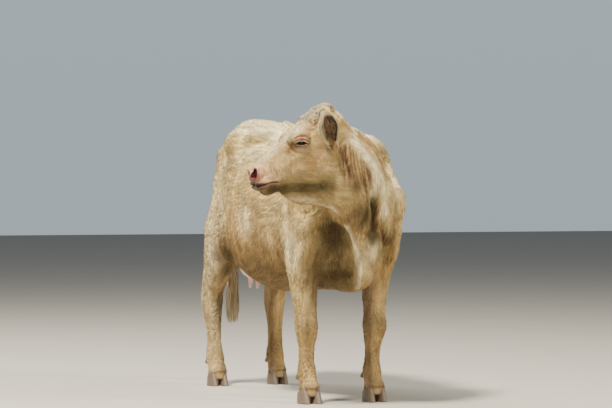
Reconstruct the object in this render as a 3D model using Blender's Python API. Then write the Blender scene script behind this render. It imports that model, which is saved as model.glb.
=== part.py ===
"""A life-size, still model of a cream-coated beef cow, standing with its head turned to its right.

The cow faces -Y, its left is +X. It is drawn with its soles at SOLE_LEVEL, and set on z = 0 at the
end. Metres throughout.
The flesh is lofted from named sections, melted into one skin, and parted with thin cuts.
"""

import math

import bmesh
import bpy
import numpy as np
from mathutils import Matrix, Vector

# Driving dimensions, in metres.
SOLE_LEVEL = 0.030
EYE_RADIUS = 0.0225
LID_THICKNESS = 0.0065
EAR_LENGTH = 0.212
EAR_WIDTH = 0.108
GAP = 0.0003
BODY_VOXEL = 0.013
HEAD_VOXEL = 0.0065
BODY_TRIANGLES = 5600
HEAD_TRIANGLES = 2300
UDDER_TRIANGLES = 420

# The trunk from breast to buttocks: along y, top, bottom, half width, height of the widest level,
# then how square the upper and the lower quarters of the section are (2 is an ellipse).
TRUNK_SECTIONS = (
    (-0.800, 1.060, 0.790, 0.100, 0.930, 2.0, 2.0),
    (-0.740, 1.190, 0.670, 0.170, 0.960, 2.0, 2.0),
    (-0.620, 1.305, 0.590, 0.232, 0.980, 2.0, 2.1),
    (-0.470, 1.350, 0.570, 0.252, 0.980, 1.8, 2.2),
    (-0.280, 1.348, 0.570, 0.285, 0.950, 2.0, 2.2),
    (-0.080, 1.342, 0.552, 0.335, 0.920, 2.1, 2.2),
    (0.080, 1.350, 0.545, 0.348, 0.915, 2.1, 2.2),
    (0.220, 1.370, 0.565, 0.318, 0.930, 2.2, 2.2),
    (0.340, 1.392, 0.610, 0.275, 0.980, 2.4, 2.1),
    (0.460, 1.408, 0.690, 0.234, 1.030, 2.4, 2.0),
    (0.600, 1.412, 0.800, 0.212, 1.080, 2.2, 2.0),
    (0.720, 1.380, 0.890, 0.182, 1.120, 2.1, 2.0),
    (0.800, 1.320, 0.970, 0.140, 1.140, 2.0, 2.0),
    (0.845, 1.230, 1.050, 0.080, 1.140, 2.0, 2.0),
)

# The neck from inside the chest to inside the skull: centre x, y, z, up to the crest, down to the
# throat, half width, squareness above and below.
NECK_SECTIONS = (
    (0.000, -0.440, 1.060, 0.270, 0.340, 0.205, 2.0, 1.9),
    (-0.005, -0.620, 1.075, 0.252, 0.350, 0.192, 2.0, 1.8),
    (-0.035, -0.760, 1.110, 0.222, 0.280, 0.155, 2.0, 1.8),
    (-0.100, -0.860, 1.150, 0.200, 0.225, 0.125, 2.0, 1.9),
    (-0.190, -0.910, 1.195, 0.180, 0.170, 0.106, 2.0, 2.0),
    (-0.280, -0.912, 1.235, 0.160, 0.150, 0.096, 2.0, 2.0),
)

# The loose skin under throat, neck and breast: centre x, y, z, half height, half thickness.
DEWLAP_SECTIONS = (
    (-0.462, -0.902, 1.050, 0.010, 0.012),
    (-0.400, -0.895, 1.032, 0.034, 0.018),
    (-0.320, -0.890, 1.026, 0.042, 0.021),
    (-0.230, -0.880, 1.020, 0.048, 0.024),
    (-0.150, -0.855, 0.990, 0.060, 0.026),
    (-0.085, -0.815, 0.930, 0.075, 0.028),
    (-0.040, -0.780, 0.850, 0.080, 0.030),
    (-0.015, -0.750, 0.760, 0.080, 0.034),
    (0.000, -0.715, 0.668, 0.074, 0.044),
    (0.000, -0.610, 0.622, 0.050, 0.045),
)

# A foreleg from shoulder blade to hoof: outward, y, z, half width across, half depth fore and aft,
# squareness. A hind leg follows in the same way, from the hip.
FORELEG_SECTIONS = (
    (0.140, -0.470, 1.200, 0.075, 0.120, 2.0),
    (0.180, -0.535, 1.070, 0.090, 0.155, 2.0),
    (0.195, -0.580, 0.950, 0.088, 0.148, 2.0),
    (0.200, -0.555, 0.840, 0.085, 0.135, 2.0),
    (0.198, -0.520, 0.740, 0.080, 0.115, 2.1),
    (0.190, -0.508, 0.650, 0.070, 0.088, 2.1),
    (0.184, -0.510, 0.540, 0.058, 0.066, 2.2),
    (0.180, -0.518, 0.450, 0.052, 0.056, 2.3),
    (0.178, -0.522, 0.400, 0.056, 0.060, 2.5),
    (0.176, -0.518, 0.350, 0.048, 0.051, 2.4),
    (0.174, -0.512, 0.295, 0.038, 0.043, 2.3),
    (0.172, -0.508, 0.228, 0.037, 0.042, 2.3),
    (0.171, -0.508, 0.180, 0.045, 0.049, 2.3),
    (0.170, -0.524, 0.135, 0.043, 0.044, 2.3),
    (0.170, -0.538, 0.100, 0.051, 0.054, 2.4),
    (0.170, -0.542, 0.060, 0.051, 0.054, 2.4),
)
HINDLEG_SECTIONS = (
    (0.110, 0.500, 1.220, 0.090, 0.190, 2.0),
    (0.118, 0.560, 1.080, 0.096, 0.222, 2.0),
    (0.140, 0.570, 0.950, 0.103, 0.218, 2.0),
    (0.165, 0.590, 0.840, 0.106, 0.180, 2.0),
    (0.178, 0.645, 0.730, 0.084, 0.134, 2.0),
    (0.180, 0.715, 0.625, 0.064, 0.096, 2.1),
    (0.178, 0.775, 0.545, 0.053, 0.078, 2.2),
    (0.176, 0.795, 0.480, 0.053, 0.071, 2.4),
    (0.174, 0.790, 0.410, 0.045, 0.058, 2.4),
    (0.172, 0.780, 0.325, 0.038, 0.047, 2.3),
    (0.170, 0.775, 0.240, 0.037, 0.044, 2.3),
    (0.169, 0.772, 0.185, 0.045, 0.049, 2.3),
    (0.168, 0.752, 0.135, 0.043, 0.044, 2.3),
    (0.168, 0.736, 0.100, 0.050, 0.054, 2.4),
    (0.168, 0.732, 0.060, 0.050, 0.054, 2.4),
)

# Rounded masses over the lofts: outward x, y, z, then half sizes across, along and up. Each is on
# both sides where its x isn't 0.
BODY_MASSES = {
    "shoulder point": (0.195, -0.675, 0.985, 0.072, 0.085, 0.110),
    "shoulder blade": (0.140, -0.510, 1.110, 0.122, 0.150, 0.215),
    "triceps": (0.225, -0.480, 0.870, 0.062, 0.130, 0.130),
    "hip bone": (0.166, 0.380, 1.278, 0.080, 0.140, 0.085),
    "loin": (0.090, 0.220, 1.300, 0.120, 0.240, 0.060),
    "thigh": (0.130, 0.580, 1.020, 0.092, 0.210, 0.230),
    "buttock": (0.088, 0.735, 1.070, 0.078, 0.100, 0.190),
    "pin bone": (0.100, 0.795, 1.230, 0.045, 0.052, 0.050),
    "stifle": (0.196, 0.440, 0.810, 0.068, 0.100, 0.120),
    "flank fold": (0.170, 0.370, 0.745, 0.045, 0.130, 0.090),
    "hock point": (0.176, 0.866, 0.545, 0.023, 0.028, 0.044),
    "sacrum": (0.000, 0.600, 1.372, 0.060, 0.170, 0.045),
    "brisket": (0.000, -0.640, 0.650, 0.110, 0.130, 0.085),
}

# Where the head hangs: the poll, which way the nose points, and the tilt about its own length.
POLL = Vector((-0.272, -0.905, 1.435))
HEAD_HEADING = math.radians(94.0)
HEAD_PITCH = math.radians(41.0)
HEAD_ROLL = math.radians(0.0)

# The skull and jaws in the head's frame (forward from the poll, left, up): forward, top, bottom,
# half width, height of the widest level, squareness above and below.
HEAD_SECTIONS = (
    (-0.050, -0.030, -0.230, 0.075, -0.120, 2.0, 2.0),
    (0.000, 0.000, -0.275, 0.090, -0.110, 2.2, 2.0),
    (0.060, 0.014, -0.303, 0.104, -0.110, 2.4, 2.0),
    (0.125, 0.016, -0.315, 0.112, -0.105, 2.5, 2.0),
    (0.190, 0.013, -0.303, 0.106, -0.100, 2.4, 2.0),
    (0.260, 0.008, -0.268, 0.088, -0.098, 2.3, 2.0),
    (0.325, 0.010, -0.215, 0.074, -0.090, 2.3, 2.1),
    (0.380, 0.012, -0.172, 0.068, -0.078, 2.4, 2.2),
    (0.426, 0.004, -0.152, 0.067, -0.070, 2.4, 2.2),
    (0.450, -0.018, -0.122, 0.054, -0.068, 2.2, 2.2),
)
HEAD_MASSES = {
    "poll": (-0.005, 0.000, -0.030, 0.050, 0.080, 0.040),
    "orbit": (0.184, 0.078, -0.040, 0.062, 0.042, 0.054),
    "cheek": (0.135, 0.064, -0.190, 0.092, 0.050, 0.105),
    "nose": (0.408, 0.000, -0.048, 0.060, 0.072, 0.056),
    "nostril wing": (0.424, 0.043, -0.026, 0.036, 0.031, 0.038),
    "upper lip": (0.424, 0.036, -0.074, 0.054, 0.042, 0.038),
    "chin": (0.418, 0.000, -0.118, 0.048, 0.050, 0.036),
    "jaw angle": (0.125, 0.058, -0.245, 0.062, 0.038, 0.062),
}

EYE_CENTRE = (0.192, 0.0920, -0.045)
EYE_GAZE = Vector((0.26, 0.95, 0.08))
LID_SLOPE = math.radians(26.0)
EAR_ROOT = (0.084, 0.090, -0.148)
# Each ear's direction and the way its cup faces, both as for a left ear.
EAR_AXIS = {1: Vector((-0.22, 0.60, 0.77)), -1: Vector((0.03, 0.65, 0.76))}
EAR_OPENING = {1: Vector((0.45, 0.78, -0.46)), -1: Vector((0.80, 0.30, -0.35))}

# One claw: length and width of the sole, height at the toe and at the heel, slit between claws.
FORE_CLAW = {"length": 0.118, "width": 0.055, "toe": 0.072, "heel": 0.042, "slit": 0.005}
HIND_CLAW = {"length": 0.112, "width": 0.051, "toe": 0.070, "heel": 0.040, "slit": 0.005}
FORE_FOOT = (0.170, -0.548)
HIND_FOOT = (0.168, 0.726)

# The tail from its root to the end of the dock: x, y, z, half width, half depth.
TAIL_SECTIONS = (
    (0.000, 0.690, 1.352, 0.042, 0.036),
    (0.000, 0.780, 1.350, 0.040, 0.035),
    (0.000, 0.848, 1.300, 0.035, 0.031),
    (-0.003, 0.876, 1.210, 0.030, 0.027),
    (-0.010, 0.885, 1.080, 0.025, 0.023),
    (-0.018, 0.882, 0.940, 0.021, 0.019),
    (-0.026, 0.878, 0.810, 0.018, 0.017),
    (-0.030, 0.876, 0.700, 0.016, 0.015),
)
SWITCH = {"top": 0.700, "bottom": 0.330, "radius": 0.044, "rows": 3, "per_row": 7}
TUFT = {"rows": 3, "per_row": 5, "length": 0.062}

COLOURS = {
    "coat": (0.66, 0.55, 0.38, 1.0),
    "horn": (0.16, 0.12, 0.09, 1.0),
    "eye": (0.02, 0.012, 0.01, 1.0),
    "switch": (0.40, 0.30, 0.19, 1.0),
    "udder": (0.62, 0.42, 0.33, 1.0),
}
ROUGHNESS = {"coat": 0.85, "horn": 0.5, "eye": 0.08, "switch": 0.8, "udder": 0.7}


def clear_scene():
    for thing in list(bpy.data.objects):
        bpy.data.objects.remove(thing, do_unlink=True)


def material(name):
    made = bpy.data.materials.get(name)
    if made is None:
        made = bpy.data.materials.new(name)
        made.use_nodes = True
        shader = made.node_tree.nodes["Principled BSDF"]
        shader.inputs["Base Color"].default_value = COLOURS[name]
        shader.inputs["Roughness"].default_value = ROUGHNESS[name]
        shader.inputs["Metallic"].default_value = 0.0
    return made


def dress(thing, name):
    """Gives every face of the thing this one material."""
    thing.data.materials.clear()
    thing.data.materials.append(material(name))
    for face in thing.data.polygons:
        face.material_index = 0


def new_object(name, mesh):
    thing = bpy.data.objects.new(name, mesh)
    bpy.context.scene.collection.objects.link(thing)
    return thing


def smooth_rows(rows, count):
    """Rows of a section table, blended to count rows along a cubic through them all."""
    table = np.array(rows, float)
    steps = np.linalg.norm(np.diff(table[:, :3], axis=0), axis=1) + 0.02
    keys = np.concatenate([[0.0], np.cumsum(steps)])
    slopes = np.gradient(table, keys, axis=0)
    at = np.linspace(0.0, keys[-1], count)
    span = np.clip(np.searchsorted(keys, at, side="right") - 1, 0, len(keys) - 2)
    wide = (keys[span + 1] - keys[span])[:, None]
    t = (at - keys[span])[:, None] / wide
    first = (2 * t**3 - 3 * t**2 + 1) * table[span] + (t**3 - 2 * t**2 + t) * wide * slopes[span]
    second = (3 * t**2 - 2 * t**3) * table[span + 1] + (t**3 - t**2) * wide * slopes[span + 1]
    return first + second


def squared(value, power):
    return math.copysign(abs(value) ** (2.0 / power), value)


def section_ring(centre, side, up, half_width, rise, drop, above, below, count):
    """A closed ring round centre: rise and drop are its reach along up, above and below."""
    ring = []
    for step in range(count):
        angle = 2 * math.pi * step / count
        power = above if math.cos(angle) >= 0 else below
        reach = rise if math.cos(angle) >= 0 else drop
        ring.append(
            centre
            + side * (half_width * squared(math.sin(angle), power))
            + up * (reach * squared(math.cos(angle), power))
        )
    return ring


def loft(rings):
    """A closed mesh through rings of equal count, ends filled by fans to their centres."""
    shape = bmesh.new()
    loops = [[shape.verts.new(point) for point in ring] for ring in rings]
    for first, second in zip(loops, loops[1:]):
        for i in range(len(first)):
            j = (i + 1) % len(first)
            shape.faces.new((first[i], first[j], second[j], second[i]))
    for loop in (loops[0], loops[-1]):
        middle = shape.verts.new(sum((v.co for v in loop), Vector()) / len(loop))
        for i in range(len(loop)):
            shape.faces.new((loop[i], loop[(i + 1) % len(loop)], middle))
    bmesh.ops.recalc_face_normals(shape, faces=shape.faces)
    mesh = bpy.data.meshes.new("loft")
    shape.to_mesh(mesh)
    shape.free()
    return mesh


def ball(centre, half_sizes, frame=Matrix.Identity(4), fineness=3):
    shape = bmesh.new()
    size = Matrix.Diagonal((*half_sizes, 1.0))
    place = frame @ Matrix.Translation(centre) @ size
    bmesh.ops.create_icosphere(shape, subdivisions=fineness, radius=1.0, matrix=place)
    bmesh.ops.recalc_face_normals(shape, faces=shape.faces)
    mesh = bpy.data.meshes.new("ball")
    shape.to_mesh(mesh)
    shape.free()
    return mesh


def joined(name, meshes):
    """One object holding all these closed meshes, still separate bodies."""
    shape = bmesh.new()
    for mesh in meshes:
        shape.from_mesh(mesh)
    whole = bpy.data.meshes.new(name)
    shape.to_mesh(whole)
    shape.free()
    return new_object(name, whole)


def apply_modifiers(thing):
    """The object's evaluated mesh becomes its own mesh."""
    graph = bpy.context.evaluated_depsgraph_get()
    mesh = bpy.data.meshes.new_from_object(thing.evaluated_get(graph))
    thing.modifiers.clear()
    thing.data = mesh
    return thing


def melt(thing, voxel, rounds, triangles):
    """Overlapping bodies become one smooth skin of about so many triangles."""
    remesh = thing.modifiers.new("melt", "REMESH")
    remesh.mode = "VOXEL"
    remesh.voxel_size = voxel
    apply_modifiers(thing)
    relax(thing.data, rounds)
    keep_largest(thing)
    thin_out(thing, triangles)
    return thing


def relax(mesh, rounds):
    """Smooths without shrinking: each round pulls points to their neighbours' mean, then back."""
    count = len(mesh.vertices)
    points = np.empty(count * 3)
    mesh.vertices.foreach_get("co", points)
    points = points.reshape(-1, 3)
    edges = np.empty(len(mesh.edges) * 2, np.int64)
    mesh.edges.foreach_get("vertices", edges)
    edges = edges.reshape(-1, 2)
    ends = np.concatenate([edges, edges[:, ::-1]])
    valence = np.bincount(ends[:, 0], minlength=count)[:, None]
    for strength in (0.62, -0.64) * rounds:
        mean = np.stack(
            [np.bincount(ends[:, 0], points[ends[:, 1], k], count) for k in range(3)], axis=1
        )
        points = points + strength * (mean / valence - points)
    mesh.vertices.foreach_set("co", points.ravel())
    mesh.update()


def thin_out(thing, triangles):
    now = sum(len(face.vertices) - 2 for face in thing.data.polygons)
    decimate = thing.modifiers.new("thin", "DECIMATE")
    decimate.decimate_type = "COLLAPSE"
    decimate.use_collapse_triangulate = True
    decimate.ratio = min(1.0, triangles / now)
    apply_modifiers(thing)


def keep_largest(thing):
    """Drops every loose scrap but the one with the most volume."""
    shape = bmesh.new()
    shape.from_mesh(thing.data)
    bodies = []
    seen = set()
    for start in shape.verts:
        if start in seen:
            continue
        body = {start}
        edge = [start]
        while edge:
            for link in edge.pop().link_edges:
                for vert in link.verts:
                    if vert not in body:
                        body.add(vert)
                        edge.append(vert)
        seen |= body
        bodies.append(body)
    largest = max(bodies, key=body_volume)
    loose = [v for body in bodies if body is not largest for v in body]
    bmesh.ops.delete(shape, geom=loose, context="VERTS")
    shape.to_mesh(thing.data)
    shape.free()


def body_volume(body):
    volume = 0.0
    for face in {face for vert in body for face in vert.link_faces}:
        corners = [vert.co for vert in face.verts]
        for second, third in zip(corners[1:], corners[2:]):
            volume += corners[0].dot(second.cross(third))
    return volume


def combine(thing, operation, others, solver="MANIFOLD"):
    """One Boolean with a collection of closed meshes, applied, and the meshes removed."""
    group = bpy.data.collections.new("operands")
    bpy.context.scene.collection.children.link(group)
    for other in others:
        for home in list(other.users_collection):
            home.objects.unlink(other)
        group.objects.link(other)
    step = thing.modifiers.new("combine", "BOOLEAN")
    step.operation = operation
    step.operand_type = "COLLECTION"
    step.collection = group
    step.solver = solver
    apply_modifiers(thing)
    for other in others:
        bpy.data.objects.remove(other, do_unlink=True)
    bpy.data.collections.remove(group)
    keep_largest(thing)
    return thing


def copy_of(thing, name):
    return new_object(name, thing.data.copy())


def cut_clear(piece, thing):
    """Takes the thing away from the piece, with a gap left between them."""
    swollen = copy_of(thing, "swollen")
    points = [vert.co + vert.normal * GAP for vert in swollen.data.vertices]
    for vert, point in zip(swollen.data.vertices, points):
        vert.co = point
    combine(piece, "DIFFERENCE", [swollen])


def slab(centre, normal, along, half_along, half_across, depth):
    """A box under the plane through centre, its top face on that plane."""
    up = Vector(normal).normalized()
    side = (Vector(along) - up * up.dot(Vector(along))).normalized()
    across = up.cross(side)
    frame = Matrix((side, across, up)).transposed().to_4x4()
    frame.translation = Vector(centre) - up * (depth / 2)
    shape = bmesh.new()
    size = Matrix.Diagonal((2 * half_along, 2 * half_across, depth, 1.0))
    bmesh.ops.create_cube(shape, size=1.0, matrix=frame @ size)
    mesh = bpy.data.meshes.new("slab")
    shape.to_mesh(mesh)
    shape.free()
    return new_object("slab", mesh)


def part_by(whole, name, cut):
    """Splits off what lies in the slab as a new node, and leaves a gap in the whole."""
    centre, normal, along, half_along, half_across, depth = cut
    piece = copy_of(whole, name)
    combine(piece, "INTERSECT", [slab(*cut)])
    raised = Vector(centre) + Vector(normal).normalized() * GAP
    combine(
        whole,
        "DIFFERENCE",
        [slab(raised, normal, along, half_along + GAP, half_across + GAP, depth + 4 * GAP)],
    )
    return piece


def block(x_range, y_range, centre, rise_x, rise_y, grow=0.0):
    """An upright block from below the floor to a sloping top through centre."""
    rings = [[], []]
    corners = ((0, 0), (1, 0), (1, 1), (0, 1))
    for i, j in corners:
        x = x_range[i] + (grow if i else -grow)
        y = y_range[j] + (grow if j else -grow)
        top = centre[2] + rise_x * (x - centre[0]) + rise_y * (y - centre[1]) + 1.5 * grow
        rings[0].append(Vector((x, y, -0.1)))
        rings[1].append(Vector((x, y, top)))
    return new_object("block", loft(rings))


def part_below(whole, name, cut):
    """Splits off what lies in the upright block as a new node, and leaves a gap."""
    piece = copy_of(whole, name)
    combine(piece, "INTERSECT", [block(*cut)])
    combine(whole, "DIFFERENCE", [block(*cut, grow=GAP)])
    return piece


def head_frame():
    """Forward, left and up of the head, at the poll, as a matrix."""
    level = Vector((-math.sin(HEAD_HEADING), -math.cos(HEAD_HEADING), 0.0))
    forward = level * math.cos(HEAD_PITCH) - Vector((0, 0, math.sin(HEAD_PITCH)))
    left = Vector((0, 0, 1)).cross(level)
    left = Matrix.Rotation(HEAD_ROLL, 3, forward) @ left
    up = forward.cross(left)
    frame = Matrix((forward, left, up)).transposed().to_4x4()
    frame.translation = POLL
    return frame


def trunk_mesh():
    rings = []
    for y, top, bottom, half, wide, above, below in smooth_rows(TRUNK_SECTIONS, 34):
        rings.append(
            section_ring(
                Vector((0, y, wide)), Vector((1, 0, 0)), Vector((0, 0, 1)),
                half, top - wide, wide - bottom, above, below, 36,
            )
        )
    return loft(rings)


def path_rings(rows, side_of, count):
    """Rings square to the path through the rows' first three columns."""
    points = [Vector(row[:3]) for row in rows]
    rings = []
    for i, row in enumerate(rows):
        onward = (points[min(i + 1, len(points) - 1)] - points[max(i - 1, 0)]).normalized()
        side, up = side_of(onward)
        rings.append(section_ring(points[i], side, up, *row[3:], count))
    return rings


def upright_section(onward):
    side = onward.cross(Vector((0, 0, 1))).normalized()
    return side, side.cross(onward).normalized()


def leg_section(onward):
    front = onward.cross(Vector((1, 0, 0))).normalized()
    return Vector((1, 0, 0)), front


def neck_mesh():
    rows = []
    for x, y, z, rise, drop, half, above, below in smooth_rows(NECK_SECTIONS, 20):
        rows.append((x, y, z, half, rise, drop, above, below))
    return loft(path_rings(rows, upright_section, 30))


def dewlap_mesh():
    rows = []
    for x, y, z, half_height, half_thick in smooth_rows(DEWLAP_SECTIONS, 22):
        rows.append((x, y, z, half_thick, half_height, half_height, 2.0, 2.0))
    return loft(path_rings(rows, dewlap_section, 16))


def dewlap_section(onward):
    """The fold hangs down under the throat, and stands forward down the breast."""
    steep = min(1.0, abs(onward.z) * 1.2)
    out = Vector((-0.3 * steep, -steep, -(1.1 - steep)))
    side = out.cross(onward).normalized()
    return side, onward.cross(side).normalized()


def leg_mesh(sections, sign):
    rows = []
    for out, y, z, half_across, half_deep, square in smooth_rows(sections, 36):
        rows.append((sign * out, y, z, half_across, half_deep, half_deep, square, square))
    return loft(path_rings(rows, leg_section, 22))


def body_masses(table, frame=Matrix.Identity(4), side_axis=0):
    """Balls for a table of masses, mirrored where they stand off the middle plane."""
    meshes = []
    for row in table.values():
        centre = Vector(row[:3])
        meshes.append(ball(centre, row[3:], frame))
        if centre[side_axis]:
            centre[side_axis] = -centre[side_axis]
            meshes.append(ball(centre, row[3:], frame))
    return meshes


def head_meshes(frame):
    rings = []
    for forward, top, bottom, half, wide, above, below in smooth_rows(HEAD_SECTIONS, 30):
        ring = section_ring(
            Vector((forward, 0, wide)), Vector((0, 1, 0)), Vector((0, 0, 1)),
            half, top - wide, wide - bottom, above, below, 32,
        )
        rings.append([frame @ point for point in ring])
    meshes = [loft(rings)] + body_masses(HEAD_MASSES, frame, side_axis=1)
    for sign in (1, -1):
        meshes.append(ear_stub(frame, sign))
        meshes.append(eye_frame_ball(frame, sign, EYE_RADIUS + LID_THICKNESS))
    return meshes


def mirrored(values, sign):
    """A point or direction of the head's left side, on the side that sign names."""
    return Vector((values[0], sign * values[1], values[2]))


def ear_frame(frame, sign):
    """The ear's own frame: x across, y towards the opening, z from root to tip."""
    axis = mirrored(EAR_AXIS[sign], sign).normalized()
    opening = mirrored(EAR_OPENING[sign], sign)
    opening = (opening - axis * axis.dot(opening)).normalized()
    local = Matrix((opening.cross(axis), opening, axis)).transposed().to_4x4()
    local.translation = mirrored(EAR_ROOT, sign)
    return frame @ local


def ear_stub(frame, sign):
    """The fleshy cone that carries an ear."""
    local = ear_frame(frame, sign)
    rings = []
    for height, radius in ((-0.050, 0.038), (-0.015, 0.032), (0.004, 0.026), (0.016, 0.019)):
        centre = Vector((0, -0.004, height))
        ring = section_ring(
            centre, Vector((1, 0, 0)), Vector((0, 1, 0)), radius, radius, radius, 2.0, 2.0, 20
        )
        rings.append([local @ point for point in ring])
    return loft(rings)


def ear_shape(t):
    """Half width, roll angle and back offset of the ear's cup at t along its length."""
    half = 0.5 * EAR_WIDTH * math.sin(math.pi * (0.13 + 0.87 * t) ** 0.86) ** 0.62
    roll = math.radians(255 - 180 * min(1.0, t / 0.6) ** 0.8)
    back = -0.010 + 0.022 * t * t
    return max(half, 0.0035), roll, back


def ear_mesh(frame, sign):
    """A cupped leaf: rolled to a tube at its root, open in the middle, rounded at its tip."""
    local = ear_frame(frame, sign)
    along, across = 13, 10
    skin = {}
    shape = bmesh.new()
    for i in range(along + 1):
        t = i / along
        half, roll, back = ear_shape(t)
        radius = 2 * half / roll
        thick = 0.0042 * (1 - 0.5 * t)
        for j in range(across + 1):
            v = 2 * j / across - 1
            angle = v * roll / 2
            edge = thick * (1 - 0.55 * abs(v) ** 3)
            for face, reach in (("back", radius + edge / 2), ("cup", radius - edge / 2)):
                point = Vector(
                    (
                        reach * math.sin(angle),
                        back + radius - reach * math.cos(angle),
                        0.006 + t * EAR_LENGTH,
                    )
                )
                skin[face, i, j] = shape.verts.new(local @ point)
    for i in range(along):
        for j in range(across):
            for face in ("back", "cup"):
                a, b = skin[face, i, j], skin[face, i, j + 1]
                c, d = skin[face, i + 1, j + 1], skin[face, i + 1, j]
                shape.faces.new((a, b, c))
                shape.faces.new((a, c, d))
        for j in (0, across):
            shape.faces.new(
                (skin["back", i, j], skin["back", i + 1, j], skin["cup", i + 1, j], skin["cup", i, j])
            )
    for i in (0, along):
        for j in range(across):
            shape.faces.new(
                (skin["back", i, j], skin["back", i, j + 1], skin["cup", i, j + 1], skin["cup", i, j])
            )
    bmesh.ops.recalc_face_normals(shape, faces=shape.faces)
    mesh = bpy.data.meshes.new("ear")
    shape.to_mesh(mesh)
    shape.free()
    return mesh


def lock_mesh(root, onward, fall, length, width, thick):
    """One flat, tapered lock: it leaves its root along onward and bends to hang along fall."""
    onward = onward.normalized()
    fall = fall.normalized()
    rows = []
    centre = root.copy()
    stations = 4
    for i in range(stations):
        t = i / (stations - 1)
        heading = onward.lerp(fall, t).normalized()
        if i:
            centre = centre + heading * (length / (stations - 1))
        side = heading.cross(onward.cross(fall).cross(heading) + Vector((0.01, 0.02, 0.03)))
        side = side.normalized()
        swell = (1.0, 1.1, 0.75, 0.16)[i]
        lift = side.cross(heading).normalized()
        rows.append(
            [
                centre + side * width * swell,
                centre + lift * thick * swell,
                centre - side * width * swell,
                centre - lift * thick * swell,
            ]
        )
    return loft(rows)


def tail_mesh():
    rows = []
    for x, y, z, half_width, half_depth in smooth_rows(TAIL_SECTIONS, 20):
        rows.append((x, y, z, half_width, half_depth, half_depth, 2.0, 2.0))
    return loft(path_rings(rows, leg_section, 12))


def switch_meshes():
    """The tassel: a short core with rows of locks that overlap downwards."""
    top = Vector((-0.030, 0.876, SWITCH["top"] + 0.004))
    end = Vector((-0.034, 0.876, SWITCH["bottom"]))
    core = []
    for t, radius in ((0.0, 0.010), (0.10, 0.020), (0.30, 0.026), (0.55, 0.022), (0.80, 0.008)):
        centre = top.lerp(end, t)
        core.append(
            section_ring(
                centre, Vector((1, 0, 0)), Vector((0, 1, 0)), radius, radius, radius, 2, 2, 10
            )
        )
    locks = []
    draw = np.random.default_rng(11)
    for row in range(SWITCH["rows"]):
        height = 0.06 + 0.17 * row
        for i in range(SWITCH["per_row"]):
            angle = 2 * math.pi * (i + 0.5 * (row % 2)) / SWITCH["per_row"]
            angle += draw.uniform(-0.12, 0.12)
            out = Vector((math.cos(angle), math.sin(angle), 0))
            root = top.lerp(end, height) + out * 0.008
            reach = (SWITCH["top"] - SWITCH["bottom"]) * (0.52 - 0.03 * row)
            reach *= draw.uniform(0.85, 1.0)
            fall = Vector((0, 0, -1)) - out * 0.12
            onward = out * 0.42 + Vector((0, 0, -1))
            locks.append(lock_mesh(root, onward, fall, reach, 0.0125, 0.0048))
    return [loft(core)], locks


def tuft_meshes(frame):
    """Short locks over the poll, lying forward and outward between the ears."""
    locks = []
    draw = np.random.default_rng(5)
    for row in range(TUFT["rows"]):
        for i in range(TUFT["per_row"]):
            spread = (i - (TUFT["per_row"] - 1) / 2) / ((TUFT["per_row"] - 1) / 2)
            spread += 0.12 * (row % 2) + draw.uniform(-0.05, 0.05)
            root = Vector((-0.034 + 0.030 * row, 0.060 * spread, 0.004 - 0.026 * spread * spread))
            onward = Vector((0.55, 0.40 * spread, 0.50))
            fall = Vector((0.85, 0.50 * spread, -0.22))
            length = TUFT["length"] * draw.uniform(0.8, 1.0)
            locks.append(
                lock_mesh(
                    frame @ root, frame.to_3x3() @ onward, frame.to_3x3() @ fall, length, 0.0105, 0.0045
                )
            )
    return locks


def claw_object(name, foot, size, sign, inner):
    """One claw: a half-moon sole, a sloping wall and a coronet that falls to the heel."""
    side = -1 if inner else 1
    middle = sign * foot[0] + sign * side * (size["width"] + size["slit"]) / 2
    rings = []
    count = 18
    for level in (0.0, 0.12, 0.55, 1.0):
        ring = []
        for step in range(count):
            angle = 2 * math.pi * step / count
            ahead = math.sin(angle)
            across = math.cos(angle) * sign * side
            outward = math.cos(angle) > 0
            width = size["width"] / 2 * (1.0 if outward else 0.92)
            taper = 1 - 0.30 * max(ahead, 0) ** 2
            rise = level * (size["heel"] + (size["toe"] - size["heel"]) * (0.5 + 0.5 * ahead))
            back = 0.030 * level * (0.5 + 0.5 * ahead)
            belly = 1 - 0.10 * level - (0.035 if level == 0.0 else 0.0)
            ring.append(
                Vector(
                    (
                        middle + width * squared(across, 2.6) * taper * belly,
                        foot[1] - size["length"] / 2 * ahead * belly + back,
                        SOLE_LEVEL + rise,
                    )
                )
            )
        rings.append(ring)
    claw = new_object(name, loft(rings))
    dress(claw, "horn")
    return claw


def dewclaw_object(name, foot_x, y, z, sign, inner, leg):
    """A small blunt horn cone behind the fetlock, cut to the leg and drawn clear of it."""
    side = -1 if inner else 1
    root = Vector((sign * foot_x + sign * side * 0.024, y + 0.030, z))
    tip = root + Vector((sign * side * 0.006, 0.030, -0.022))
    axis = (tip - root).normalized()
    across = axis.cross(Vector((0, 0, 1))).normalized()
    up = across.cross(axis)
    rings = []
    for t, radius in ((0.0, 0.0135), (0.55, 0.0125), (0.85, 0.0085), (1.0, 0.004)):
        rings.append(section_ring(root.lerp(tip, t), across, up, radius, radius, radius, 2, 2, 10))
    claw = new_object(name, loft(rings))
    cut_clear(claw, leg)
    dress(claw, "horn")
    return claw


def lens_cutter(frame, centre, gaze, slope, half_length, above, below, reach):
    """A prism with an almond outline, from the eye's middle outward."""
    across = Vector((math.cos(slope), 0, math.sin(slope)))
    gaze = gaze.normalized()
    across = (across - gaze * gaze.dot(across)).normalized()
    up = across.cross(gaze)
    if up.z < 0:
        up = -up
    rings = []
    for depth in (0.2, 1.0):
        ring = []
        for step in range(16):
            angle = 2 * math.pi * step / 16
            height = above if math.sin(angle) >= 0 else below
            lid = height * abs(math.sin(angle)) ** 1.25 * (1 if math.sin(angle) >= 0 else -1)
            flare = 1 + 0.35 * (depth > 0.5)
            point = centre + gaze * reach * depth
            point = point + across * half_length * flare * math.cos(angle) + up * lid * flare
            ring.append(frame @ point)
        rings.append(ring)
    return new_object("almond", loft(rings))


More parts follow.
